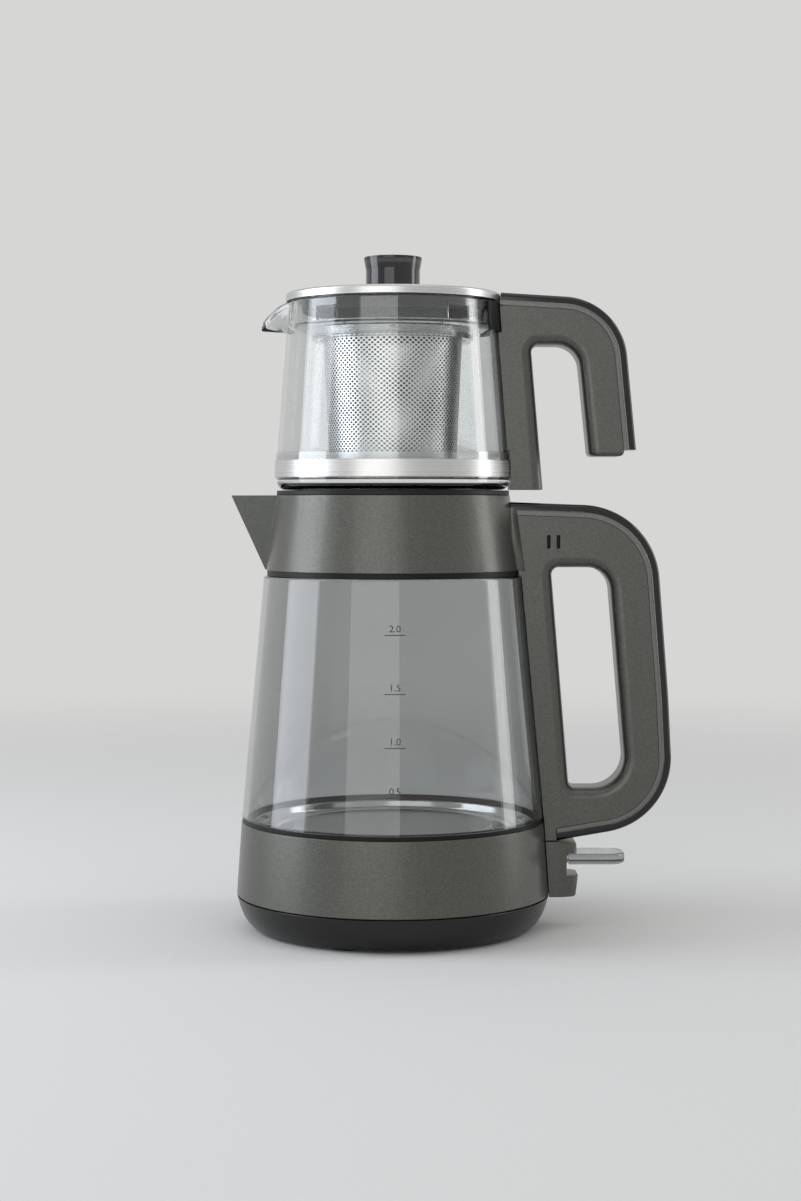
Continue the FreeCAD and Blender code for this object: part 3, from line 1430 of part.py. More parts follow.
def build_pot_band():
    """The steel band round the pot's foot and the clear liner behind and above it."""
    turned("pot_band_liner", rectangle(
        "pot_liner_radius", "pot_liner_height", "pot_liner_radius + pot_liner_thickness",
        "pot_liner_height + pot_liner_width"))
    turned("pot_band", rectangle(
        "pot_band_radius", "pot_band_height", "pot_band_radius + pot_band_thickness",
        "pot_band_height + pot_band_width"))


HOOK_LEAN = "((hook_end_x - hook_top_x) / (hook_top_z - hook_end_z))"
HOOK_OUTLINE = [
    ("handle_inner_end", "hook_low_z"),
    (f"hook_end_x + (hook_end_z - hook_low_z) * {HOOK_LEAN}", "hook_low_z"),
    ("hook_top_x", "hook_top_z", "hook_top_radius"),
    ("handle_inner_end", "hook_top_start")]


def pot_envelope(gap):
    """The turned outside of the teapot, grown by a gap, that its handle is cut with."""
    band = "pot_band_radius + pot_band_thickness"
    saddle = "saddle_thickness + seat_gap"
    low = "pot_liner_height + pot_liner_width + 2 * contact_gap"
    return [
        (0, "hook_leg_z - cut_margin"),
        (f"{band} + {gap}", "hook_leg_z - cut_margin"),
        (f"{band} + {gap}", low),
        (f"{pot_radius(low)} + {gap}", low),
        (f"{pot_radius('saddle_bottom_z')} + {gap}", "saddle_bottom_z - seat_gap"),
        (f"{pot_radius('saddle_bottom_z')} + {saddle} + {gap}", "saddle_bottom_z - seat_gap"),
        (f"{pot_radius('keep_off_z')} + {saddle} + {gap}", "keep_off_z"),
        (f"lid_radius + lid_keep_off + {gap}", "keep_off_z"),
        (f"lid_radius + lid_keep_off + {gap}", "hook_top_start + cut_margin"),
        (0, "hook_top_start + cut_margin")]


def build_teapot_handle():
    """The grey moulding: a leg down the pot's side and a hook that is open at the bottom."""
    layers = "trim_thickness + band_thickness + 2 * layer_gap"
    body = plate("teapot_handle", inset(HOOK_OUTLINE, layers), "handle_width")
    below_leg = rectangle(
        "handle_inner_end", "hook_low_z - cut_margin", "hook_end_x + 2 * cut_margin", "hook_leg_z")
    cut_plate(body, below_leg, "handle_width + cut_margin")
    cut_plate(body, [
        ("hook_leg_x", "hook_leg_z - hook_overrun"),
        ("hook_low_x + hook_throat_step", "hook_leg_z - hook_overrun"),
        ("hook_reach_x", "hook_inner_z", "hook_reach_radius"),
        ("hook_inner_x", "hook_inner_z", "gap_small_radius")], "handle_width + cut_margin")
    cut_plate(body, rectangle(
        "hook_leg_x + hook_throat_step", "hook_leg_z - hook_overrun", "hook_end_x + 2 * cut_margin",
        "hook_main_end_z"),
              "handle_width + cut_margin")
    side = value("handle_width") / 2
    box = (value("hook_inner_x") - PICK_MARGIN, value("hook_leg_z") - PICK_MARGIN,
           value("hook_low_x + hook_throat_step") + PICK_MARGIN, value("hook_inner_z") + PICK_MARGIN)
    shortest = value("hook_throat_step")
    fillet(body, "grip_edge", lambda edge: along_edge(edge, side, box) and edge.Length > shortest)
    fillet(body, "hook_tip_edge", lambda edge: level_edge(edge, "hook_main_end_z"))
    revolve(body, pot_envelope("saddle_gap"), cut=True)


def build_teapot_handle_strips():
    """The grey band and the gloss black trim along the back of the hook."""
    below = rectangle("handle_inner_end - cut_margin", "hook_low_z - 2 * cut_margin",
                      "hook_end_x + 2 * cut_margin", "hook_end_z")
    trim_width = "handle_width - 2 * trim_side_step"
    for name, outer, inner, width, edge in (
            ("teapot_handle_band", "trim_thickness + layer_gap",
             "trim_thickness + band_thickness + layer_gap", "handle_width", "band_edge"),
            ("teapot_handle_trim", "0", "trim_thickness", trim_width, "trim_edge")):
        body = build_strip(name, HOOK_OUTLINE, outer, inner, width, below)
        revolve(body, pot_envelope("saddle_gap"), cut=True)
        fillet_outer(body, HOOK_OUTLINE, value(outer) + PICK_MARGIN, width, edge)


def build_pot_saddle():
    """The dark pad between the pot's wall and its handle."""
    low, high = "saddle_bottom_z", "pot_top_height - saddle_gap"
    body = new_body("pot_saddle")
    inner_low = f"{pot_radius(low)} + seat_gap"
    inner_high = f"{pot_radius(high)} + seat_gap"
    sketch = outline_sketch(body, [
        (inner_low, low), (f"{inner_low} + saddle_thickness", low),
        (f"{inner_high} + saddle_thickness", high), (inner_high, high)])
    feature = body.newObject("PartDesign::Revolution", "pot_saddle_turned")
    feature.Profile = sketch
    feature.ReferenceAxis = (sketch, ["V_Axis"])
    feature.Midplane = True
    bind(feature, "Angle", "2 * saddle_half_angle")
    finish(body, feature)


# ---------------------------------------------------------------- strainer
def build_strainer_holder():
    """The clear carrier: a rim on the pot, a wall with four windows, a sloping shelf and a seat."""
    body = turned("strainer_holder", [
        ("holder_rim_radius", "holder_rim_bottom"),
        ("holder_rim_radius", "holder_top_z"),
        ("holder_radius - holder_wall", "holder_top_z"),
        ("holder_radius - holder_wall", "shelf_top_z + shelf_face"),
        ("flange_radius + seat_gap", "shelf_bottom_z + 2 * shelf_face"),
        ("flange_radius + seat_gap", "shelf_bottom_z"),
        ("shelf_seat_radius", "shelf_bottom_z"),
        ("shelf_seat_radius", "shelf_seat_z"),
        ("flange_radius + shelf_foot", "shelf_seat_z"),
        ("holder_radius", "shelf_top_z - shelf_foot + seat_gap"),
        ("holder_radius", "holder_rim_bottom")])
    for angle in ("window_angle - 90", "90 - window_angle"):
        window = outline_sketch(body, slanted_rectangle(
            "holder_radius - cut_margin", "holder_radius + cut_margin", "window_width / 2", angle),
            "XY_Plane", "window_bottom_z")
        cut = extrude(body, window, "window_height", cut=True, backwards=True)
        mirror(body, cut, "YZ_Plane")


def build_strainer():
    """The steel cup and the flange that it hangs from."""
    neck = "basket_top_radius + basket_fit"
    flange = turned("strainer_flange", [
        ("flange_radius", "flange_bottom_z"),
        ("flange_radius", "flange_top_z"),
        (neck, "flange_top_z"),
        (neck, "flange_bottom_z"),
        (f"{neck} + flange_wall", "flange_bottom_z"),
        (f"{neck} + flange_wall", "flange_top_z - flange_wall"),
        ("flange_radius - flange_wall", "flange_top_z - flange_wall"),
        ("flange_radius - flange_wall", "flange_bottom_z")])
    hole = new_sketch(flange, "XZ_Plane", "flange_radius + cut_margin")
    draw_circle(hole, 0, "flange_hole_z", "flange_hole")
    extrude(flange, hole, "cut_margin + 3 * flange_wall", cut=True)
    turned("strainer_basket", [
        (0, "basket_bottom_z"),
        ("basket_bottom_radius", "basket_bottom_z"),
        ("basket_top_radius", "basket_top_z"),
        ("basket_top_radius - basket_wall", "basket_top_z"),
        ("basket_bottom_radius - basket_wall", "basket_bottom_z + basket_wall"),
        (0, "basket_bottom_z + basket_wall")])


# ---------------------------------------------------------------- lid
def build_lid():
    """A pressed steel cap, the black plug under it and a hollow flared knob on a screw."""
    bore = "screw_radius + pin_gap"
    turned("lid_cap", [
        (bore, "lid_top_z"),
        ("lid_radius", "lid_top_z", "lid_edge"),
        ("lid_radius", "lid_bottom_z"),
        ("lid_radius - lid_sheet", "lid_bottom_z"),
        ("lid_radius - lid_sheet", "lid_underside"),
        (bore, "lid_underside")])
    plug_bottom = "plug_seat_z - plug_depth"
    turned("lid_plug", [
        (bore, "lid_underside"),
        ("plug_rim_radius", "lid_underside"),
        ("plug_rim_radius", "plug_seat_z"),
        ("plug_radius", "plug_seat_z"),
        ("plug_radius - plug_draft", plug_bottom),
        ("plug_radius - plug_draft - plug_wall", plug_bottom),
        ("plug_radius - plug_wall", "lid_underside - plug_wall"),
        (bore, "lid_underside - plug_wall")])
    screw_end = "lid_top_z + screw_length"
    hollow_top = "knob_top_z - knob_dish - knob_wall"
    turned("lid_knob", [
        (bore, "lid_top_z"),
        ("knob_core", "lid_top_z"),
        ("knob_core", hollow_top),
        ("knob_radius - knob_wall", hollow_top),
        ("knob_radius - knob_wall", "lid_top_z"),
        ("knob_radius", "lid_top_z"),
        ("knob_radius", "knob_flare_z", "knob_flare_radius"),
        ("knob_top_radius", "knob_top_z - knob_rim"),
        ("knob_top_radius", "knob_top_z"),
        ("knob_top_radius - knob_rim_width", "knob_top_z"),
        ("knob_top_radius - knob_rim_width - knob_dish", "knob_top_z - knob_dish"),
        (0, "knob_top_z - knob_dish"),
        (0, screw_end),
        (bore, screw_end)])
    head_top = "lid_underside - plug_wall"
    turned("knob_screw", [
        (0, f"{head_top} - screw_head_height"),
        ("screw_head_radius", f"{head_top} - screw_head_height"),
        ("screw_head_radius", head_top),
        ("screw_radius", head_top),
        ("screw_radius", f"{screw_end} - saddle_gap"),
        (0, f"{screw_end} - saddle_gap")])


# ---------------------------------------------------------------- the whole appliance
def build_all():
    build_base_shell()
    build_base_cover()
    build_base_feet()
    build_screws("base_screws", "base_screw_circle", "base_screw_turn", "foot_height - screw_stand_out", 4)
    build_base_connector()
    build_base_contacts()
    build_cord_gland()
    build_lower_ring()
    build_kettle_cover()
    build_screws("kettle_screws", "ring_boss_circle", "ring_boss_turn", "cover_bottom", 3)
    build_kettle_connector()
    build_connector_terminals()
    build_heating_plate()
    build_heat_spreader()
    build_heating_element()
    build_boil_dry_cutout()
    build_seals()
    build_kettle_glass()
    build_collar()
    build_pot_ring()
    build_kettle_handle()
    build_kettle_handle_strips()
    build_switch_housing()
    build_switch_pin()
    build_switch_lever()
    build_steam_switch()
    build_indicator_lamp()
    duct = new_body("steam_duct")
    add_steam_path(duct, "steam_radius", cut=False)
    build_teapot_glass()
    build_pot_band()
    build_teapot_handle()
    build_teapot_handle_strips()
    build_pot_saddle()
    build_strainer_holder()
    build_strainer()
    build_lid()


def check_and_write():
    """Stops at any failed object, then writes one STEP file for each piece."""
    DOC.recompute()
    for item in DOC.Objects:
        if "Invalid" in item.State or "Error" in item.State:
            raise RuntimeError(f"{item.Label} failed: {item.State} {item.getStatusString()}")
    bodies = [item for item in DOC.Objects if item.TypeId == "PartDesign::Body"]
    for body in bodies:
        if body.Shape.isNull() or not body.Shape.isValid():
            raise RuntimeError(f"{body.Label} has no valid shape")
    os.makedirs("parts", exist_ok=True)
    for body in bodies:
        body.Shape.exportStep(f"parts/{body.Label}.step")


build_all()
check_and_write()
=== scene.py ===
"""The looks of a two-tier electric tea maker: its finishes, its turned and moulded pieces, the studio."""
import json
import math

import bmesh
import bpy
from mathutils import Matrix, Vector


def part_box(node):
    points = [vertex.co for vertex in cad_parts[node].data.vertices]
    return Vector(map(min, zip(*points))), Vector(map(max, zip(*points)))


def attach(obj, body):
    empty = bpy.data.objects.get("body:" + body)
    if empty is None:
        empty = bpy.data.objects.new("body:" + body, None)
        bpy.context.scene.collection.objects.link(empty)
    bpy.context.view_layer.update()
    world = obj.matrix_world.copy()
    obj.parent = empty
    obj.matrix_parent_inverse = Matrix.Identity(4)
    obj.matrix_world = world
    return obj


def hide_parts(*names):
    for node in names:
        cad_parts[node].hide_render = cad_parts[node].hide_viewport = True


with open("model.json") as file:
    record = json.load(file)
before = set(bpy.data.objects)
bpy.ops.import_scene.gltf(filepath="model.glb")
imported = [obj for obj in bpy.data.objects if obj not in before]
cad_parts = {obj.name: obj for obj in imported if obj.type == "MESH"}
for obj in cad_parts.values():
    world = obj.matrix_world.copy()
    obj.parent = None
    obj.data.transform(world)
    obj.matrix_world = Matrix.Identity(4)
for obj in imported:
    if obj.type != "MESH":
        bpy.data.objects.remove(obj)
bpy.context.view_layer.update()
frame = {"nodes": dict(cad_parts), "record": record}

MM = 0.001
ROUND_STEPS, DRILL_STEPS = 192, 48
# Arcs of a section are drawn in steps of 12 degrees at most. Edges sharper than 35 degrees are eased.
ARC_STEP, SHARP_EDGE = 12, math.radians(35)
BODY = {node: body for body, nodes in frame["record"]["behaviour"]["bodies"].items() for node in nodes}


def span(node):
    """A CAD node's reach towards +X, its lowest and its highest point, to a hundredth of a millimetre."""
    low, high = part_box(node)
    return [round(float(number) / MM, 2) for number in (high[0], low[2], high[2])]


# ---------------------------------------------------------------- finishes
def linear(text):
    """An sRGB hex colour as linear light."""
    channels = [int(text[start:start + 2], 16) / 255 for start in (1, 3, 5)]
    return [c / 12.92 if c <= 0.04045 else ((c + 0.055) / 1.055) ** 2.4 for c in channels] + [1.0]


def per_mm(size):
    """The scale of a texture whose grain has this size in millimetres."""
    return 1 / (size * MM)


def new_finish(name):
    finish = bpy.data.materials.new(name)
    finish.use_nodes = True
    finish.node_tree.nodes.clear()
    return finish


def add(finish, kind, inputs, **settings):
    """One node of a finish: its settings, and for each input a value or the socket that feeds it."""
    tree = finish.node_tree
    item = tree.nodes.new("ShaderNode" + kind)
    for name, setting in settings.items():
        setattr(item, name, setting)
    for name, source in inputs.items():
        if isinstance(source, bpy.types.NodeSocket):
            tree.links.new(source, item.inputs[name])
        else:
            item.inputs[name].default_value = source
    return item


def flake_lacquer(name, dark, light):
    """Metallic lacquer, sprayed: olive grey, satin, with a fine sparkle of aluminium flakes."""
    finish = new_finish(name)
    place = add(finish, "TexCoord", {}).outputs["Object"]
    # Real flakes are 0.05 mm. They are drawn at 0.3 mm so that they show.
    flakes = add(finish, "TexVoronoi", {"Vector": place, "Scale": per_mm(0.3)})
    tone = add(finish, "SeparateXYZ", {"Vector": flakes.outputs["Color"]})
    bright = add(finish, "Math", {0: tone.outputs[0], 1: 3.0}, operation="POWER")
    colour = add(finish, "Mix", {0: bright.outputs[0], 6: linear(dark), 7: linear(light)}, data_type="RGBA")
    cloud = add(finish, "TexNoise", {"Vector": place, "Scale": per_mm(14), "Detail": 3.0})
    rough = add(finish, "MapRange", {"Value": cloud.outputs[0], "To Min": 0.34, "To Max": 0.42})
    tilt = add(finish, "Bump", {"Height": tone.outputs[1], "Strength": 0.04, "Distance": 0.03 * MM})
    shader = add(finish, "BsdfPrincipled", {
        "Base Color": colour.outputs[2], "Metallic": 0.8, "Roughness": rough.outputs[0],
        "Normal": tilt.outputs[0], "Coat Weight": 0.3, "Coat Roughness": 0.18})
    add(finish, "OutputMaterial", {"Surface": shader.outputs[0]})
    return finish


def gloss_abs():
    """Polished black ABS, moulded: deep black with sharp reflections and a faint orange peel."""
    finish = new_finish("gloss_black_abs")
    place = add(finish, "TexCoord", {}).outputs["Object"]
    peel = add(finish, "TexNoise", {"Vector": place, "Scale": per_mm(3), "Detail": 2.0})
    rough = add(finish, "MapRange", {"Value": peel.outputs[0], "To Min": 0.06, "To Max": 0.12})
    colour = add(finish, "Mix", {0: peel.outputs[0], 6: linear("#050506"), 7: linear("#0a0a0b")},
                 data_type="RGBA")
    wave = add(finish, "Bump", {"Height": peel.outputs[0], "Strength": 0.08, "Distance": 0.05 * MM})
    shader = add(finish, "BsdfPrincipled", {
        "Base Color": colour.outputs[2], "Roughness": rough.outputs[0], "IOR": 1.53,
        "Normal": wave.outputs[0]})
    add(finish, "OutputMaterial", {"Surface": shader.outputs[0]})
    return finish


def textured_plastic(name, dark, light, grain, rough_low, rough_high, depth, shine=0.5):
    """Moulded plastic or rubber from an etched tool: a fine even grain that scatters the highlights."""
    finish = new_finish(name)
    place = add(finish, "TexCoord", {}).outputs["Object"]
    pits = add(finish, "TexNoise", {"Vector": place, "Scale": per_mm(grain), "Detail": 2.0})
    patch = add(finish, "TexNoise", {"Vector": place, "Scale": per_mm(25), "Detail": 3.0})
    colour = add(finish, "Mix", {0: patch.outputs[0], 6: linear(dark), 7: linear(light)}, data_type="RGBA")
    rough = add(finish, "MapRange", {"Value": patch.outputs[0], "To Min": rough_low, "To Max": rough_high})
    relief = add(finish, "Bump", {"Height": pits.outputs[0], "Strength": 0.35, "Distance": depth * MM})
    shader = add(finish, "BsdfPrincipled", {
        "Base Color": colour.outputs[2], "Roughness": rough.outputs[0], "IOR": 1.5,
        "Specular IOR Level": shine, "Normal": relief.outputs[0]})
    add(finish, "OutputMaterial", {"Surface": shader.outputs[0]})
    return finish


def spun_metal(name, dark, light, line, rough_low, rough_high, streak):
    """Sheet metal, spun or brushed round its axis: fine rings that draw the highlights out."""
    finish = new_finish(name)
    place = add(finish, "TexCoord", {}).outputs["Object"]
    along = add(finish, "SeparateXYZ", {"Vector": place})
    across = add(finish, "CombineXYZ", {"X": along.outputs["X"], "Y": along.outputs["Y"]})
    reach = add(finish, "VectorMath", {0: across.outputs[0]}, operation="LENGTH")
    rings = add(finish, "CombineXYZ", {"X": reach.outputs["Value"], "Y": along.outputs["Z"]})
    lines = add(finish, "TexNoise", {"Vector": rings.outputs[0], "Scale": per_mm(line), "Detail": 4.0})
    patch = add(finish, "TexNoise", {"Vector": place, "Scale": per_mm(18), "Detail": 2.0})
    mixed = add(finish, "Math", {0: lines.outputs[0], 1: patch.outputs[0]}, operation="MULTIPLY")
    colour = add(finish, "Mix", {0: lines.outputs[0], 6: linear(dark), 7: linear(light)}, data_type="RGBA")
    rough = add(finish, "MapRange", {
        "Value": mixed.outputs[0], "From Max": 0.5, "To Min": rough_low, "To Max": rough_high})
    relief = add(finish, "Bump", {"Height": lines.outputs[0], "Strength": 0.25, "Distance": 0.02 * MM})
    shader = add(finish, "BsdfPrincipled", {
        "Base Color": colour.outputs[2], "Metallic": 1.0, "Roughness": rough.outputs[0],
        "Anisotropic": streak, "Normal": relief.outputs[0]})
    add(finish, "OutputMaterial", {"Surface": shader.outputs[0]})
    return finish


def plain_metal(name, dark, light, grain, rough_low, rough_high):
    """Plated, turned or cast metal: an even tone with a slight mottle from handling."""
    finish = new_finish(name)
    place = add(finish, "TexCoord", {}).outputs["Object"]
    mottle = add(finish, "TexNoise", {"Vector": place, "Scale": per_mm(grain), "Detail": 4.0})
    colour = add(finish, "Mix", {0: mottle.outputs[0], 6: linear(dark), 7: linear(light)}, data_type="RGBA")
    rough = add(finish, "MapRange", {"Value": mottle.outputs[0], "To Min": rough_low, "To Max": rough_high})
    shader = add(finish, "BsdfPrincipled", {
        "Base Color": colour.outputs[2], "Metallic": 1.0, "Roughness": rough.outputs[0]})
    add(finish, "OutputMaterial", {"Surface": shader.outputs[0]})
    return finish


def clear_wall(name, tint, thick, ior, roughness, patch):
    """Glass or clear plastic. Its tint drifts a little from patch to patch, and lamps shine through it."""
    finish = new_finish(name)
    place = add(finish, "TexCoord", {}).outputs["Object"]
    drift = add(finish, "TexNoise", {"Vector": place, "Scale": per_mm(patch), "Detail": 2.0})
    colour = add(finish, "Mix", {0: drift.outputs[0], 6: linear(tint), 7: linear(thick)}, data_type="RGBA")
    shader = add(finish, "BsdfPrincipled", {
        "Base Color": colour.outputs[2], "Roughness": roughness, "IOR": ior, "Transmission Weight": 1.0})
    through = add(finish, "BsdfTransparent", {"Color": linear(tint)})
    path = add(finish, "LightPath", {})
    both = add(finish, "MixShader", {
        0: path.outputs["Is Shadow Ray"], 1: shader.outputs[0], 2: through.outputs[0]})
    add(finish, "OutputMaterial", {"Surface": both.outputs[0]})
    return finish


LACQUER = flake_lacquer("metallic_flake_lacquer", "#51524d", "#6a6b66")
# A paler copy of the lacquer: a painted highlight for the handles' inlays.
LACQUER_PAINTED_LIGHT = flake_lacquer("metallic_flake_lacquer_painted_light", "#656663", "#7e7f7c")
GLOSS_ABS = gloss_abs()
BASE_ABS = textured_plastic("satin_black_abs", "#060606", "#0b0b0b", 0.7, 0.22, 0.32, 0.015)
HEATPROOF = textured_plastic("black_glass_filled_nylon", "#0a0a0a", "#101010", 0.6, 0.38, 0.50, 0.03, 0.3)
RUBBER = textured_plastic("black_rubber", "#151515", "#202020", 0.8, 0.65, 0.80, 0.04)
SILICONE = textured_plastic("black_silicone", "#060606", "#0a0a0a", 1.2, 0.36, 0.50, 0.01, 0.25)
INK = textured_plastic("grey_screen_ink", "#2b2b2b", "#363636", 0.5, 0.50, 0.65, 0.01)
BRUSHED = spun_metal("brushed_stainless_steel", "#b9b9b8", "#d8d8d7", 0.5, 0.20, 0.34, 0.55)
PRESSED = spun_metal("pressed_stainless_steel", "#a9a9a8", "#c6c6c5", 1.1, 0.16, 0.26, 0.3)
POLISHED = spun_metal("polished_stainless_steel", "#cacac9", "#e0e0df", 1.1, 0.09, 0.16, 0.2)
# Painted dark reflection for the heating plate's raised disc: the same steel, painted darker.
PLATE_PAINTED_DARK = spun_metal("stainless_steel_painted_dark", "#7c7a77", "#918f8c", 1.1, 0.09, 0.16, 0.2)
PUNCHED = spun_metal("punched_stainless_steel", "#e6e6e5", "#f4f4f3", 0.8, 0.30, 0.40, 0.2)
# Painted shade: a darker steel laid on the basket's inside and hole walls, where shade falls.
BASKET_PAINTED_SHADE = plain_metal("stainless_steel_painted_shade", "#3a3a39", "#4c4c4b", 2.0, 0.45, 0.60)
ZINC = plain_metal("zinc_plated_steel", "#9a9c9d", "#b9bbbc", 2.0, 0.28, 0.42)
BRASS = plain_metal("turned_brass", "#b08d4a", "#c9a75f", 3.0, 0.22, 0.34)
ALUMINIUM = plain_metal("cast_aluminium", "#b4b6b8", "#cbcdcf", 5.0, 0.34, 0.46)
SMOKE_GLASS = clear_wall("smoke_grey_borosilicate_glass", "#cccece", "#c6c8c8", 1.47, 0.0, 28)
GLASS = clear_wall("clear_borosilicate_glass", "#eef0f0", "#e8eaea", 1.47, 0.0, 28)
CLEAR = clear_wall("clear_polycarbonate", "#f6f7f7", "#f1f3f3", 1.585, 0.0, 12)
CLEAR_GREY = clear_wall("grey_tinted_polycarbonate", "#aeb1b2", "#a4a7a8", 1.585, 0.02, 12)
SMOKED = clear_wall("smoked_polycarbonate", "#4a4a4b", "#3e3e3f", 1.585, 0.05, 8)


# ---------------------------------------------------------------- modelling by hand
def start_piece(name):
    """The new primitive gets its name, and its place goes into its mesh."""
    piece = bpy.context.object
    piece.name = name
    bpy.ops.object.transform_apply(location=True, rotation=True, scale=True)
    return piece


def select_only(piece):
    """The operators that follow act on this piece alone."""
    bpy.ops.object.select_all(action="DESELECT")
    piece.select_set(True)
    bpy.context.view_layer.objects.active = piece


def block(name, middle, size, turn=0):
    """A box with its middle at a place, in millimetres, turned round an upright axis."""
    bpy.ops.object.select_all(action="DESELECT")
    bpy.ops.mesh.primitive_cube_add(
        size=MM, location=Vector(middle) * MM, rotation=(0, 0, turn), scale=size)
    return start_piece(name)


def rounded(corners):
    """Corners (x, z) or (x, z, radius) in millimetres, each rounding drawn as a run of short sides."""
    count = len(corners)
    points = []
    for index, corner in enumerate(corners):
        if len(corner) == 2:
            points.append(corner)
            continue
        here = Vector(corner[:2])
        back = (Vector(corners[index - 1][:2]) - here).normalized()
        ahead = (Vector(corners[(index + 1) % count][:2]) - here).normalized()
        half = back.angle(ahead) / 2
        centre = here + (back + ahead).normalized() * corner[2] / math.sin(half)
        start = here + back * corner[2] / math.tan(half) - centre
        turn = math.pi - 2 * half
        side = 1 if back.cross(ahead) < 0 else -1
        steps = max(2, math.ceil(math.degrees(turn) / ARC_STEP))
        for step in range(steps + 1):
            angle = side * turn * step / steps
            points.append((centre.x + start.x * math.cos(angle) - start.y * math.sin(angle),
                           centre.y + start.x * math.sin(angle) + start.y * math.cos(angle)))
    return points


def draw_section(name, corners):
    """A closed line in the XZ plane, drawn from one vertex by extruding it from corner to corner."""
    points = [(x * MM, z * MM) for x, z in rounded(corners)]
    bpy.ops.object.select_all(action="DESELECT")
    bpy.ops.mesh.primitive_plane_add(size=MM, location=(points[0][0], 0, points[0][1]))
    piece = start_piece(name)
    bpy.ops.object.mode_set(mode="EDIT")
    bpy.ops.mesh.merge(type="CENTER")
    for (x, z), (next_x, next_z) in zip(points, points[1:] + points[:1]):
        step = (next_x - x, 0, next_z - z)
        bpy.ops.mesh.extrude_region_move(TRANSFORM_OT_translate={"value": step})
    return piece


def ease(piece, width, segments=3):
    """Sharp edges are rounded over a width in millimetres, then the piece is shaded smooth."""
    select_only(piece)
    if width:
        bevel = piece.modifiers.new("eased_edges", "BEVEL")
        bevel.width = width * MM
        bevel.segments = segments
        bevel.limit_method = "ANGLE"
        bevel.angle_limit = SHARP_EDGE
        bevel.use_clamp_overlap = False
        bpy.ops.object.modifier_apply(modifier=bevel.name)
    bpy.ops.object.shade_smooth_by_angle(angle=SHARP_EDGE)
    # The large faces keep their own direction, so that they reflect and refract truly.
    even = piece.modifiers.new("even_shading", "WEIGHTED_NORMAL")
    even.weight = 100
    even.keep_sharp = True
    bpy.ops.object.modifier_apply(modifier=even.name)


def cut(piece, cutter):
    """The cutter's shape is taken out of the piece."""
    select_only(piece)
    hole = piece.modifiers.new("cut", "BOOLEAN")
    hole.object = cutter
    hole.solver = "EXACT"
    bpy.ops.object.modifier_apply(modifier=hole.name)
    bpy.data.objects.remove(cutter)


def drill(piece, radius, start, end):
    """A round hole through the piece, from one point to another, in millimetres."""
    first, last = Vector(start) * MM, Vector(end) * MM
    run = last - first
    bpy.ops.object.select_all(action="DESELECT")
    bpy.ops.mesh.primitive_cylinder_add(
        vertices=DRILL_STEPS, radius=radius * MM, depth=run.length, location=(first + last) / 2,
        rotation=run.to_track_quat("Z", "Y").to_euler())
    cut(piece, start_piece("drill"))


def spin_section(name, corners):
    """A turned shape: its half section is drawn and spun once round the kettle's axis."""
    # Corners on the axis stay a hair off it until they are spun. Then they are merged.
    piece = draw_section(name, [(max(corner[0], 0.001),) + tuple(corner[1:]) for corner in corners])
    bpy.ops.mesh.select_all(action="SELECT")
    bpy.ops.mesh.spin(steps=ROUND_STEPS, angle=2 * math.pi, center=(0, 0, 0), axis=(0, 0, 1))
    bpy.ops.mesh.select_all(action="SELECT")
    bpy.ops.mesh.remove_doubles(threshold=0.005 * MM)
    bpy.ops.mesh.delete_loose(use_verts=True, use_edges=True, use_faces=False)
    bpy.ops.mesh.select_all(action="SELECT")
    bpy.ops.mesh.normals_make_consistent(inside=False)
    bpy.ops.object.mode_set(mode="OBJECT")
    return piece


def dress(piece, node, finish):
    """The piece stands for a CAD node: it takes over its body."""
    piece.data.materials.clear()
    piece.data.materials.append(finish)
    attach(piece, BODY[node])
    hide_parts(node)
    return piece


def settle(piece, node, finish, width=0.3):
    """The shaped piece gets its eased edges and takes its place in the appliance."""
    ease(piece, width)
    return dress(piece, node, finish)


def turned(name, node, finish, corners, width=0.3):
    """A turned piece in one go, from its half section to its place in the appliance."""
    return settle(spin_section(name, corners), node, finish, width)


def hoop(node, wall):
    """The half section of a plain hoop: a CAD node's outside, with a wall of this thickness."""
    wide, low, high = span(node)
    return [(wide - wall, low), (wide, low), (wide, high), (wide - wall, high)]


def moulded(name, node, finish, width, form=None):
    """A merged copy of a CAD node, formed further, its sharp edges eased as moulding leaves them."""
    source = frame["nodes"][node]
    piece = bpy.data.objects.new(name, source.data.copy())
    bpy.context.scene.collection.objects.link(piece)
    select_only(piece)
    bpy.ops.mesh.customdata_custom_splitnormals_clear()
    bpy.ops.object.mode_set(mode="EDIT")
    bpy.ops.mesh.select_all(action="SELECT")
    bpy.ops.mesh.remove_doubles(threshold=0.002 * MM)
    bpy.ops.mesh.dissolve_limited(angle_limit=math.radians(0.5))
    bpy.ops.object.mode_set(mode="OBJECT")
    if form:
        form(piece)
    ease(piece, width, 2)
    return dress(piece, node, finish)


# ---------------------------------------------------------------- power base
def base_shell():
    """The wall curves out from its foot to the rim. The deck is sunk, with a hole for the socket tower."""
    wide, low, high = span("base_shell")
    foot, wall = wide - 8.9, 2.4
    belly_out, belly_up, curve = 5.2, 4.6, 22
    rim, rim_lean, lip = wide - 2, 0.2, 2.6
    deck, deck_under, tower_hole = high - 2, high - 4.4, 18.2
    shell = spin_section("base_shell_moulding", [
        (foot, low), (foot + belly_out, low + belly_up, curve), (wide, high), (rim, high),
        (rim - rim_lean, deck), (tower_hole, deck), (tower_hole, deck_under), (rim - lip, deck_under),
        (foot - wall, low)])
    gland_bore, gland_height, drill_from, drill_to = 5.05, low + 7.7, 60, 95
    drill(shell, gland_bore, (0, drill_from, gland_height), (0, drill_to, gland_height))
    settle(shell, "base_shell", BASE_ABS, 0.5)


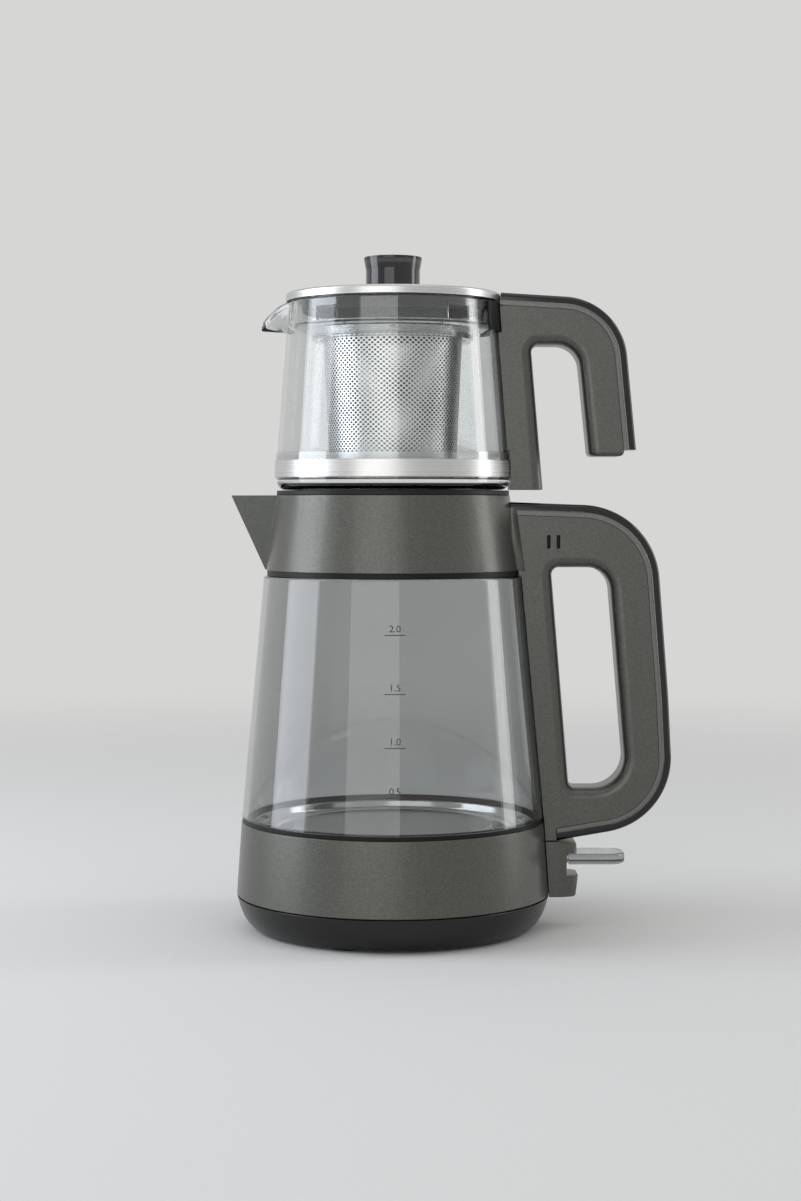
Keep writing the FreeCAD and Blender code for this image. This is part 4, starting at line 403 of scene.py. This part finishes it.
# ---------------------------------------------------------------- kettle
def lower_ring():
    """The painted ring tapers up to the glass. A ledge inside carries the heating plate's flange."""
    wide, _, high = span("lower_ring")
    seam, taper, wall = 0.6, 2.8, 2.2
    foot = span("base_shell")[2] + seam
    inside = wide - taper - wall
    ledge_top, ledge_under, ledge_edge = high - 0.8, high - 2.2, inside - 4
    lean_top, lean_under = 0.05, 0.15
    turned("lower_ring_pressing", "lower_ring", LACQUER, [
        (wide, foot), (wide - taper, high), (inside, high), (inside + lean_top, ledge_top),
        (ledge_edge, ledge_top), (ledge_edge, ledge_under), (inside + lean_under, ledge_under),
        (wide - wall, foot)], 0.5)


def heating_plate():
    """Pressed from one sheet: a raised disc, a bead round it, and a wall that ends in a flange."""
    wide, low, high = span("heating_plate")
    sheet = 0.8
    disc, bead, valley = high - 2.2, high - 3.2, low + sheet
    disc_edge, disc_foot, bead_middle, bead_half = 55, 58, 67, 3
    wall_foot, wall_head = 75.5, 76.7
    floor = [
        (0, disc), (disc_edge, disc, 3), (disc_foot, valley, 2), (bead_middle - bead_half, valley, 2),
        (bead_middle, bead, 3), (bead_middle + bead_half, valley, 2)]
    under = [(x, z - sheet, *radius) for x, z, *radius in reversed(floor)]
    plate = turned("heating_plate_pressing", "heating_plate", POLISHED, [
        *floor, (wall_foot, valley, 2), (wall_head, high, 1), (wide, high), (wide, high - sheet),
        (wall_head + sheet, high - sheet), (wall_foot + sheet, low, 2), *under], 0.15)
    plate.data.materials.append(PLATE_PAINTED_DARK)
    for face in plate.data.polygons:
        # Painted dark reflection: the raised disc over the element is painted darker. The bead and the wall
        # round it stay bright.
        if face.center.z > (disc - 0.1) * MM and face.center.to_2d().length < disc_edge * MM:
            face.material_index = 1


def glass_seals():
    """The lower seal is a flat seat with a low lip inside the glass, the upper one a plain hoop."""
    wide, low, _ = span("lower_glass_seal")
    seat, lip = low + 2.2, low + 3
    bore, lip_foot, lean_in, lean_out = wide - 4.9, wide - 2.9, 0.3, 0.2
    turned("lower_seal_ring", "lower_glass_seal", SILICONE, [
        (bore, low), (wide, low), (wide, seat), (lip_foot, seat), (lip_foot - lean_out, lip),
        (bore + lean_in, lip)], 0.2)
    turned("upper_seal_ring", "upper_glass_seal", SILICONE, hoop("upper_glass_seal", 1.05), 0.2)


GLASS_WIDE, GLASS_LOW, GLASS_HIGH = span("kettle_glass")
GLASS_TAPER = 12.45


def kettle_glass():
    """A tapered cylinder, its shoulder rounded under the collar."""
    wall, head = 3, GLASS_WIDE - GLASS_TAPER
    turned("kettle_glass_body", "kettle_glass", SMOKE_GLASS, [
        (GLASS_WIDE - wall, GLASS_LOW), (GLASS_WIDE, GLASS_LOW), (head, GLASS_HIGH, 1.6),
        (head - wall, GLASS_HIGH)], 0.4)


def pot_seat():
    """A flange on the collar, with a skirt down inside it and a low lip that centres the teapot."""
    wide, low, high = span("pot_seat_ring")
    collar_top, flange_top = span("collar")[2], high - 2
    bore, lip, lip_lean = 52, 54, 0.4
    skirt, skirt_inside, skirt_lean = wide - 2.5, wide - 4.5, 0.5
    seat = spin_section("pot_seat_moulding", [
        (bore, collar_top), (skirt_inside - skirt_lean, collar_top), (skirt_inside, low), (skirt, low),
        (skirt, collar_top), (wide, collar_top), (wide, flange_top), (lip, flange_top),
        (lip - lip_lean, high), (bore, high)])
    # The skirt is open towards the spout, so that the kettle pours.
    notch_middle, notch_size = (-60.7, 0, low + 3), (8, 12, 6.4)
    cut(seat, block("notch", notch_middle, notch_size))
    settle(seat, "pot_seat_ring", HEATPROOF, 0.4)


def kettle_handle():
    """The painted loop with its inlay, whose lacquer is painted paler as a painted highlight, and its gloss
    black back. The faces inside its two vent slots are painted dark as painted shade.
    """
    handle = moulded("kettle_handle_moulding", "kettle_handle", LACQUER, 0.45)
    handle.data.materials.append(HEATPROOF)
    slots_left, slots_right, slots_low, slots_high, side = 84, 92.5, 210.6, 218.7, 13.6
    # Painted shade: the faces inside the two vent slots get black nylon, where shade falls.
    for face in handle.data.polygons:
        spot = face.center / MM
        if slots_left < spot.x < slots_right and slots_low < spot.z < slots_high and abs(spot.y) < side:
            face.material_index = 1
    # The inlay's paler lacquer is a painted highlight.
    moulded("kettle_handle_inlay", "kettle_handle_band", LACQUER_PAINTED_LIGHT, 0.12)
    moulded("kettle_handle_back", "kettle_handle_trim", GLOSS_ABS, 0.12)


def round_sides(piece):
    """The housing's sides curve inwards to its outer end, like half an oval seen from above."""
    start, length, depth, half_width = 90, 13, 9, 14
    cross_cuts = (91.5, 93, 94.5, 96.3, 97.6, 98.8, 99.9, 100.9, 101.8)
    mesh = bmesh.new()
    mesh.from_mesh(piece.data)
    # The flat sides get cross cuts to bend at, closer together where they turn most.
    for reach in cross_cuts:
        everything = mesh.verts[:] + mesh.edges[:] + mesh.faces[:]
        bmesh.ops.bisect_plane(
            mesh, geom=everything, dist=0.01 * MM, plane_co=(reach * MM, 0, 0), plane_no=(1, 0, 0))
    for vertex in mesh.verts:
        along = vertex.co.x / MM - start
        if along > 0:
            vertex.co.y *= 1 - depth / half_width * (1 - math.sqrt(1 - (along / length) ** 2))
    mesh.to_mesh(piece.data)
    mesh.free()


# ---------------------------------------------------------------- teapot
POT_WIDE, POT_LOW, RIM = span("teapot_glass")
BEAK_DEPTH, BEAK_TURN = 16.0, math.radians(17.5)


def wall_line(start, end):
    """Points along a straight wall, over the height that the beak is pulled out of."""
    below, count, spacing = 2, 16, 1.1
    heights = [RIM - BEAK_DEPTH - below + spacing * step for step in range(count)]
    if end[1] < start[1]:
        heights.reverse()
    return [(start[0] + (end[0] - start[0]) * (height - start[1]) / (end[1] - start[1]), height)
            for height in heights]


def pull_beak(piece):
    """The rim is drawn out and down into a pouring beak towards -X, its floor a little thicker."""
    beak_reach, beak_drop, full_pull, narrowing = 14.8, 12, 13, 0.35
    inner_wall, floor_gain = 56.9, 1.8
    for vertex in piece.data.vertices:
        place = vertex.co / MM
        off = abs(math.atan2(place.y, -place.x))
        depth = RIM - place.z
        if off >= BEAK_TURN or depth >= BEAK_DEPTH:
            continue
        share = 1 - off / BEAK_TURN
        pull = min(1, (BEAK_DEPTH - depth) / full_pull) * share
        reach = math.hypot(place.x, place.y)
        gain = floor_gain if reach < inner_wall else 0
        drop = (beak_drop - gain) * pull * share ** 0.8
        stretch = (reach + beak_reach * pull) / reach
        vertex.co = Vector((
            place.x * stretch, place.y * stretch * (1 - narrowing * pull), place.z - drop)) * MM


def teapot_glass():
    """A wide jar with a heel, a floor above it, and walls that lean in to the rim."""
    wall, foot, floor, belly = 2.6, POT_LOW + 0.2, POT_LOW + 3, POT_LOW + 17
    mouth, inside = POT_WIDE - 6.7, POT_WIDE - wall
    floor_edge, heel = 56.5, 60
    pot = spin_section("teapot_glass_body", [
        (0, floor), (floor_edge, floor, 1), (heel, foot, 2), (POT_WIDE, foot, 4.6), (POT_WIDE, belly, 40),
        *wall_line((POT_WIDE, belly), (mouth, RIM)), (mouth, RIM, 0.9), (mouth - wall, RIM, 0.9),
        *wall_line((mouth - wall, RIM), (inside, belly)), (inside, belly, 40),
        (inside, floor + wall, wall), (0, floor + wall)])
    pull_beak(pot)
    settle(pot, "teapot_glass", GLASS, 0)


def reach_lid(piece):
    """The strip's inner end is drawn on towards the lid's edge."""
    strip_end, gain = 63, 1.2
    for vertex in piece.data.vertices:
        if vertex.co.x < strip_end * MM:
            vertex.co.x -= gain * MM


# ---------------------------------------------------------------- strainer
def strainer_holder():
    """A thin clear funnel: a brim, a skirt with four windows, a sloping shoulder and a step below it."""
    wide, low, high = span("strainer_holder")
    wall, brim, skirt, skirt_foot = 1.4, 1, 54.4, low + 7
    step, step_top, step_wall, bore = 44.5, low + 2, 1.2, 39.8
    holder = spin_section("strainer_holder_moulding", [
        (wide, high - brim), (wide, high), (skirt - wall, high), (skirt - wall, skirt_foot + 1, 1),
        (step - step_wall, step_top + step_wall), (step - step_wall, low + wall), (bore, low + wall),
        (bore, low), (step, low), (step, step_top), (skirt, skirt_foot, 1), (skirt, high - brim)])
    window_reach, window_height, window = 54, low + 12.4, (6, 14, 7.2)
    for angle in (-130, -50, 50, 130):
        turn = math.radians(angle)
        middle = (window_reach * math.cos(turn), window_reach * math.sin(turn), window_height)
        cut(holder, block("window", middle, window, turn))
    settle(holder, "strainer_holder", CLEAR, 0.25)


def strainer_flange():
    """The basket's pressed rim, turned down on both sides, with a small hole at the front."""
    wide, low, high = span("strainer_flange")
    sheet, bore = 0.7, 38.5
    flange = spin_section("strainer_flange_pressing", [
        (wide, low), (wide, high, 1.2), (bore, high, 0.6), (bore, low), (bore + sheet, low),
        (bore + sheet, high - sheet), (wide - sheet, high - sheet), (wide - sheet, low)])
    hole_radius, hole_height, drill_from, drill_to = 1.1, high - 2.4, -46, -41
    drill(flange, hole_radius, (0, drill_from, hole_height), (0, drill_to, hole_height))
    settle(flange, "strainer_flange", BRUSHED, 0.15)


# The rows are even in number, so that the first and the last one line up.
HOLE_COLUMNS, HOLE_ROWS = 76, 50
BASKET_WIDE, BASKET_LOW, BASKET_HIGH = span("strainer_basket")
BASKET_TAPER, BASKET_WALL = 3.4, 0.6


def round_point(radius, turn, height):
    """A point at a radius and a height in mm, its turn counted in hole spacings."""
    angle = 2 * math.pi * turn / HOLE_COLUMNS
    return Vector((radius * math.cos(angle), radius * math.sin(angle), height)) * MM


def basket_point(turn, height):
    """A point of the basket's outside."""
    lean = BASKET_TAPER * (BASKET_HIGH - height) / (BASKET_HIGH - BASKET_LOW)
    return round_point(BASKET_WIDE - lean, turn, height)


def join_rings(mesh, ring, points):
    """A new ring of corners, joined to the last one by a band of faces."""
    following = [mesh.verts.new(point) for point in points]
    for column in range(HOLE_COLUMNS):
        after = (column + 1) % HOLE_COLUMNS
        mesh.faces.new((ring[column], following[column], following[after], ring[after]))
    return following


def punch_holes(mesh, low, high):
    """Eight-sided holes in staggered rows, each set between four corners. Returns the two end rings."""
    half_width, half_height, hole_sides = 0.28, 0.5, 8
    first_corner, corner_step = -157.5, 360 / hole_sides
    pitch = (high - low) / HOLE_ROWS
    rows = [[mesh.verts.new(basket_point(column + row % 2 / 2, low + row * pitch))
             for column in range(HOLE_COLUMNS)] for row in range(HOLE_ROWS + 1)]

    def corner(row, half_turns):
        return rows[row][(half_turns - row % 2) // 2 % HOLE_COLUMNS]

    for row in range(1, HOLE_ROWS):
        for column in range(HOLE_COLUMNS):
            middle = 2 * column + 1 + row % 2
            around = [corner(row, middle - 1), corner(row - 1, middle), corner(row, middle + 1),
                      corner(row + 1, middle)]
            rim = []
            for number in range(hole_sides):
                angle = math.radians(first_corner + corner_step * number)
                rim.append(mesh.verts.new(basket_point(
                    middle / 2 + half_width * math.cos(angle),
                    low + (row + half_height * math.sin(angle)) * pitch)))
            for number in range(4):
                near, far = around[number], around[(number + 1) % 4]
                first, second = rim[2 * number - 1], rim[2 * number]
                third = rim[(2 * number + 1) % hole_sides]
                mesh.faces.new((near, first, second))
                mesh.faces.new((near, second, third, far))
    # The gaps between the corners of the first and the last ring are filled.
    for end, beside in ((0, 1), (HOLE_ROWS, HOLE_ROWS - 1)):
        for column in range(HOLE_COLUMNS):
            mesh.faces.new((rows[end][column], rows[end][(column + 1) % HOLE_COLUMNS],
                            corner(beside, 2 * column + 1)))
    return rows[0], rows[-1]


def strainer_basket():
    """The steel cup: punched between two plain strips, with a rounded heel and a plain floor."""
    holes_low, holes_high = 262.8, 327.0
    strip_heights = (holes_low - 1.6, 257.0, 255.6)
    heel = ((34.2, 255.1), (33.4, BASKET_LOW))
    mesh = bmesh.new()
    ring, top_ring = punch_holes(mesh, holes_low, holes_high)
    for height in strip_heights:
        ring = join_rings(mesh, ring, [basket_point(turn, height) for turn in range(HOLE_COLUMNS)])
    for radius, height in heel:
        ring = join_rings(mesh, ring, [round_point(radius, turn, height) for turn in range(HOLE_COLUMNS)])
    mesh.faces.new(ring)
    join_rings(mesh, top_ring, [basket_point(turn, BASKET_HIGH) for turn in range(HOLE_COLUMNS)])
    bmesh.ops.recalc_face_normals(mesh, faces=mesh.faces)
    data = bpy.data.meshes.new("strainer_basket_cup")
    mesh.to_mesh(data)
    mesh.free()
    piece = bpy.data.objects.new("strainer_basket_cup", data)
    bpy.context.scene.collection.objects.link(piece)
    select_only(piece)
    wall = piece.modifiers.new("wall", "SOLIDIFY")
    wall.thickness = BASKET_WALL * MM
    wall.offset = -1
    bpy.ops.object.modifier_apply(modifier=wall.name)
    settle(piece, "strainer_basket", PUNCHED, 0)
    # Faces that look within 60 degrees of outwards or down stay bright steel. The others, the inside and
    # the hole walls, get a darker steel as painted shade.
    piece.data.materials.append(BASKET_PAINTED_SHADE)
    facing = 0.5
    for face in piece.data.polygons:
        outward = Vector((face.center.x, face.center.y, 0)).normalized()
        if face.normal.dot(outward) < facing and face.normal.z > -facing:
            face.material_index = 1


# ---------------------------------------------------------------- lid
SCREW_HOLE = 1.6


def lid_cap():
    """A shallow steel cap, its edge turned down."""
    wide, low, high = span("lid_cap")
    sheet = 0.8
    turned("lid_cap_pressing", "lid_cap", BRUSHED, [
        (SCREW_HOLE, high), (wide, high, 1.4), (wide, low), (wide - sheet, low),
        (wide - sheet, high - sheet, 0.7), (SCREW_HOLE, high - sheet)], 0.15)


def lid_knob():
    """A hollow flared knob with a dished top and a post inside it for the screw."""
    wide, low, high = span("lid_knob")
    outside, wall, post, roof = 14.9, 2.2, 5, high - 3.2
    neck, flare, screw_end = low + 13, high - 1.2, low + 9
    dish, dish_lean, dish_floor = wide - 2.2, 0.8, high - 1
    turned("lid_knob_moulding", "lid_knob", SMOKED, [
        (SCREW_HOLE, low), (post, low), (post, roof), (outside - wall, roof), (outside - wall, low),
        (outside, low), (outside, neck, 6), (wide, flare), (wide, high), (dish, high),
        (dish - dish_lean, dish_floor), (0, dish_floor), (0, screw_end), (SCREW_HOLE, screw_end)], 0.3)


# ---------------------------------------------------------------- water marks
# The height of each tick above the ground, in millimetres.
MARK_HEIGHTS = {"2.0": 167, "1.5": 136.3, "1.0": 108.4, "0.5": 82.7}
MARK_MIDDLE = 1.3
INK_LIFT = 0.04


def wrap_on_glass(piece, height):
    """A flat mark, drawn in millimetres, is laid on the front of the glass at a height."""
    for vertex in piece.data.vertices:
        x, rise, lift = vertex.co
        x += MARK_MIDDLE
        place = height + rise
        radius = GLASS_WIDE - GLASS_TAPER * (place - GLASS_LOW) / (GLASS_HIGH - GLASS_LOW) + lift
        vertex.co = Vector((x, -math.sqrt(radius ** 2 - x ** 2), place)) * MM
    piece.data.materials.clear()
    piece.data.materials.append(INK)
    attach(piece, "kettle")


def water_mark(words, height):
    """A number over a tick, screen printed."""
    letter_height, letter_rise, ink = 5.1, 1.6, 0.03
    tick_length, tick_height, tick_cuts = 11, 0.45, 8
    name = "mark_" + words.replace(".", "_")
    bpy.ops.object.select_all(action="DESELECT")
    bpy.ops.object.text_add()
    number = bpy.context.object
    number.name = name + "_number"
    number.data.body = words
    number.data.size = letter_height
    number.data.align_x = "CENTER"
    number.data.extrude = ink
    bpy.ops.object.convert(target="MESH")
    bpy.ops.object.mode_set(mode="EDIT")
    bpy.ops.mesh.select_all(action="SELECT")
    bpy.ops.mesh.remove_doubles(threshold=0.001)
    bpy.ops.mesh.normals_make_consistent(inside=False)
    bpy.ops.object.mode_set(mode="OBJECT")
    for vertex in number.data.vertices:
        vertex.co.y += letter_rise
        vertex.co.z += INK_LIFT
    wrap_on_glass(number, height)
    bpy.ops.object.select_all(action="DESELECT")
    bpy.ops.mesh.primitive_cube_add(
        size=1, location=(0, 0, INK_LIFT), scale=(tick_length, tick_height, 2 * ink))
    tick = start_piece(name + "_tick")
    bpy.ops.object.mode_set(mode="EDIT")
    bpy.ops.mesh.subdivide(number_cuts=tick_cuts)
    bpy.ops.object.mode_set(mode="OBJECT")
    wrap_on_glass(tick, height)


# ---------------------------------------------------------------- the appliance, from its base up
base_shell()
lower_ring()
heating_plate()
glass_seals()
kettle_glass()
moulded("collar_pressing", "collar", LACQUER, 0.35)
pot_seat()
kettle_handle()
moulded("switch_housing_moulding", "switch_housing", LACQUER, 0.4, round_sides)
moulded("switch_lever_paddle", "switch_lever", CLEAR_GREY, 0.3)
teapot_glass()
turned("pot_band_strip", "pot_band", BRUSHED, hoop("pot_band", 0.6), 0.2)
turned("pot_band_carrier", "pot_band_liner", CLEAR, hoop("pot_band_liner", 0.4), 0.12)
moulded("teapot_handle_moulding", "teapot_handle", LACQUER, 0.45)
# The inlay's paler lacquer is a painted highlight.
moulded("teapot_handle_inlay", "teapot_handle_band", LACQUER_PAINTED_LIGHT, 0.12, reach_lid)
moulded("teapot_handle_back", "teapot_handle_trim", GLOSS_ABS, 0.12, reach_lid)
moulded("pot_saddle_pad", "pot_saddle", HEATPROOF, 0.4)
strainer_holder()
strainer_flange()
strainer_basket()
lid_cap()
lid_knob()
for words, height in MARK_HEIGHTS.items():
    water_mark(words, height)

# The CAD nodes whose shape stays as it is get their finish.
FINISHES = {
    BASE_ABS: ["base_bottom_cover", "kettle_bottom_cover"],
    RUBBER: ["base_feet", "cord_gland"],
    ZINC: ["base_screws", "kettle_screws", "knob_screw", "switch_pin", "lever_spring", "boil_dry_cutout"],
    HEATPROOF: ["base_connector", "kettle_connector", "steam_switch", "lid_plug"],
    BRASS: ["base_contacts", "connector_terminals"],
    PRESSED: ["heating_element"],
    ALUMINIUM: ["heat_spreader"],
    SILICONE: ["steam_duct"],
    CLEAR: ["indicator_lamp"],
}
for finish, nodes in FINISHES.items():
    for node in nodes:
        frame["nodes"][node].data.materials.clear()
        frame["nodes"][node].data.materials.append(finish)

# ---------------------------------------------------------------- studio
BACKDROP = "#d6d6d5"


def softbox(name, power, width, height, place, aim, colour="#ffffff"):
    """A rectangular lamp of so many watts, its size and places in metres."""
    lamp = bpy.data.lights.new(name, "AREA")
    lamp.shape = "RECTANGLE"
    lamp.size = width
    lamp.size_y = height
    lamp.energy = power
    lamp.color = linear(colour)[:3]
    stand = bpy.data.objects.new(name, lamp)
    stand.location = place
    stand.rotation_euler = (Vector(aim) - Vector(place)).to_track_quat("-Z", "Y").to_euler()
    bpy.context.scene.collection.objects.link(stand)


def pale_paper():
    """Matt paper with a fine fibre. From 0.45 m to 1.6 m out it fades into the backdrop's own tone."""
    paper = new_finish("pale_paper")
    place = add(paper, "TexCoord", {}).outputs["Object"]
    fibre = add(paper, "TexNoise", {"Vector": place, "Scale": per_mm(2.5), "Detail": 3.0})
    tone = add(paper, "Mix", {
        0: fibre.outputs[0], 6: linear("#e2e2e1"), 7: linear("#e8e8e7")}, data_type="RGBA")
    sheet = add(paper, "BsdfPrincipled", {"Base Color": tone.outputs[2], "Roughness": 0.9})
    away = add(paper, "VectorMath", {0: place}, operation="LENGTH")
    share = add(paper, "MapRange", {
        "Value": away.outputs["Value"], "From Min": 0.45, "From Max": 1.6}, interpolation_type="SMOOTHSTEP")
    sweep = add(paper, "Emission", {"Color": linear(BACKDROP), "Strength": 1.0})
    both = add(paper, "MixShader", {0: share.outputs[0], 1: sheet.outputs[0], 2: sweep.outputs[0]})
    add(paper, "OutputMaterial", {"Surface": both.outputs[0]})
    return paper


def lay_floor():
    """A round sheet, 12 m across, that the appliance stands on."""
    bpy.ops.object.select_all(action="DESELECT")
    bpy.ops.mesh.primitive_circle_add(vertices=96, radius=6, fill_type="NGON")
    floor = start_piece("studio_floor")
    floor.data.materials.append(pale_paper())


def studio_air():
    """The eye, gloss and glass see the backdrop's tone. All else gets a soft white light."""
    air = bpy.data.worlds.new("studio_air")
    air.use_nodes = True
    air.node_tree.nodes.clear()
    path = add(air, "LightPath", {})
    seen = add(air, "Math", {
        0: path.outputs["Is Camera Ray"], 1: path.outputs["Is Glossy Ray"]}, operation="MAXIMUM")
    seen = add(air, "Math", {
        0: seen.outputs[0], 1: path.outputs["Is Transmission Ray"]}, operation="MAXIMUM")
    light = add(air, "Background", {"Color": linear("#ffffff"), "Strength": 0.5})
    shown = add(air, "Background", {"Color": linear(BACKDROP), "Strength": 1.0})
    both = add(air, "MixShader", {0: seen.outputs[0], 1: light.outputs[0], 2: shown.outputs[0]})
    add(air, "OutputWorld", {"Surface": both.outputs[0]})
    bpy.context.scene.world = air


def front_camera():
    """It stands 1.2 m in front, as high as the kettle's collar, and looks slightly down."""
    aside, distance, height, looks_down = 0.00416, 1.201, 0.236, math.radians(2.58)
    lens = bpy.data.cameras.new("front_camera")
    lens.lens = 64.9
    lens.sensor_width = 36
    camera = bpy.data.objects.new("front_camera", lens)
    camera.location = (aside, -distance, height)
    camera.rotation_euler = (math.pi / 2 - looks_down, 0, 0)
    bpy.context.scene.collection.objects.link(camera)
    bpy.context.scene.camera = camera


softbox("left_softbox", 12, 0.9, 1.3, (-1.3, -0.12, 0.6), (0, 0, 0.18), "#f0f5ff")
softbox("right_softbox", 3.7, 0.32, 1.2, (1.25, 0.15, 0.55), (0, 0, 0.18))
softbox("front_softbox", 6.5, 1.47, 1.2, (-0.565, -1.8, 0.46), (-0.565, 0, 0.3))
softbox("top_softbox", 2.5, 1.4, 1.0, (0, -0.2, 1.6), (0, 0, 0.2))
lay_floor()
studio_air()
front_camera()
bpy.context.scene.view_settings.view_transform = "Standard"
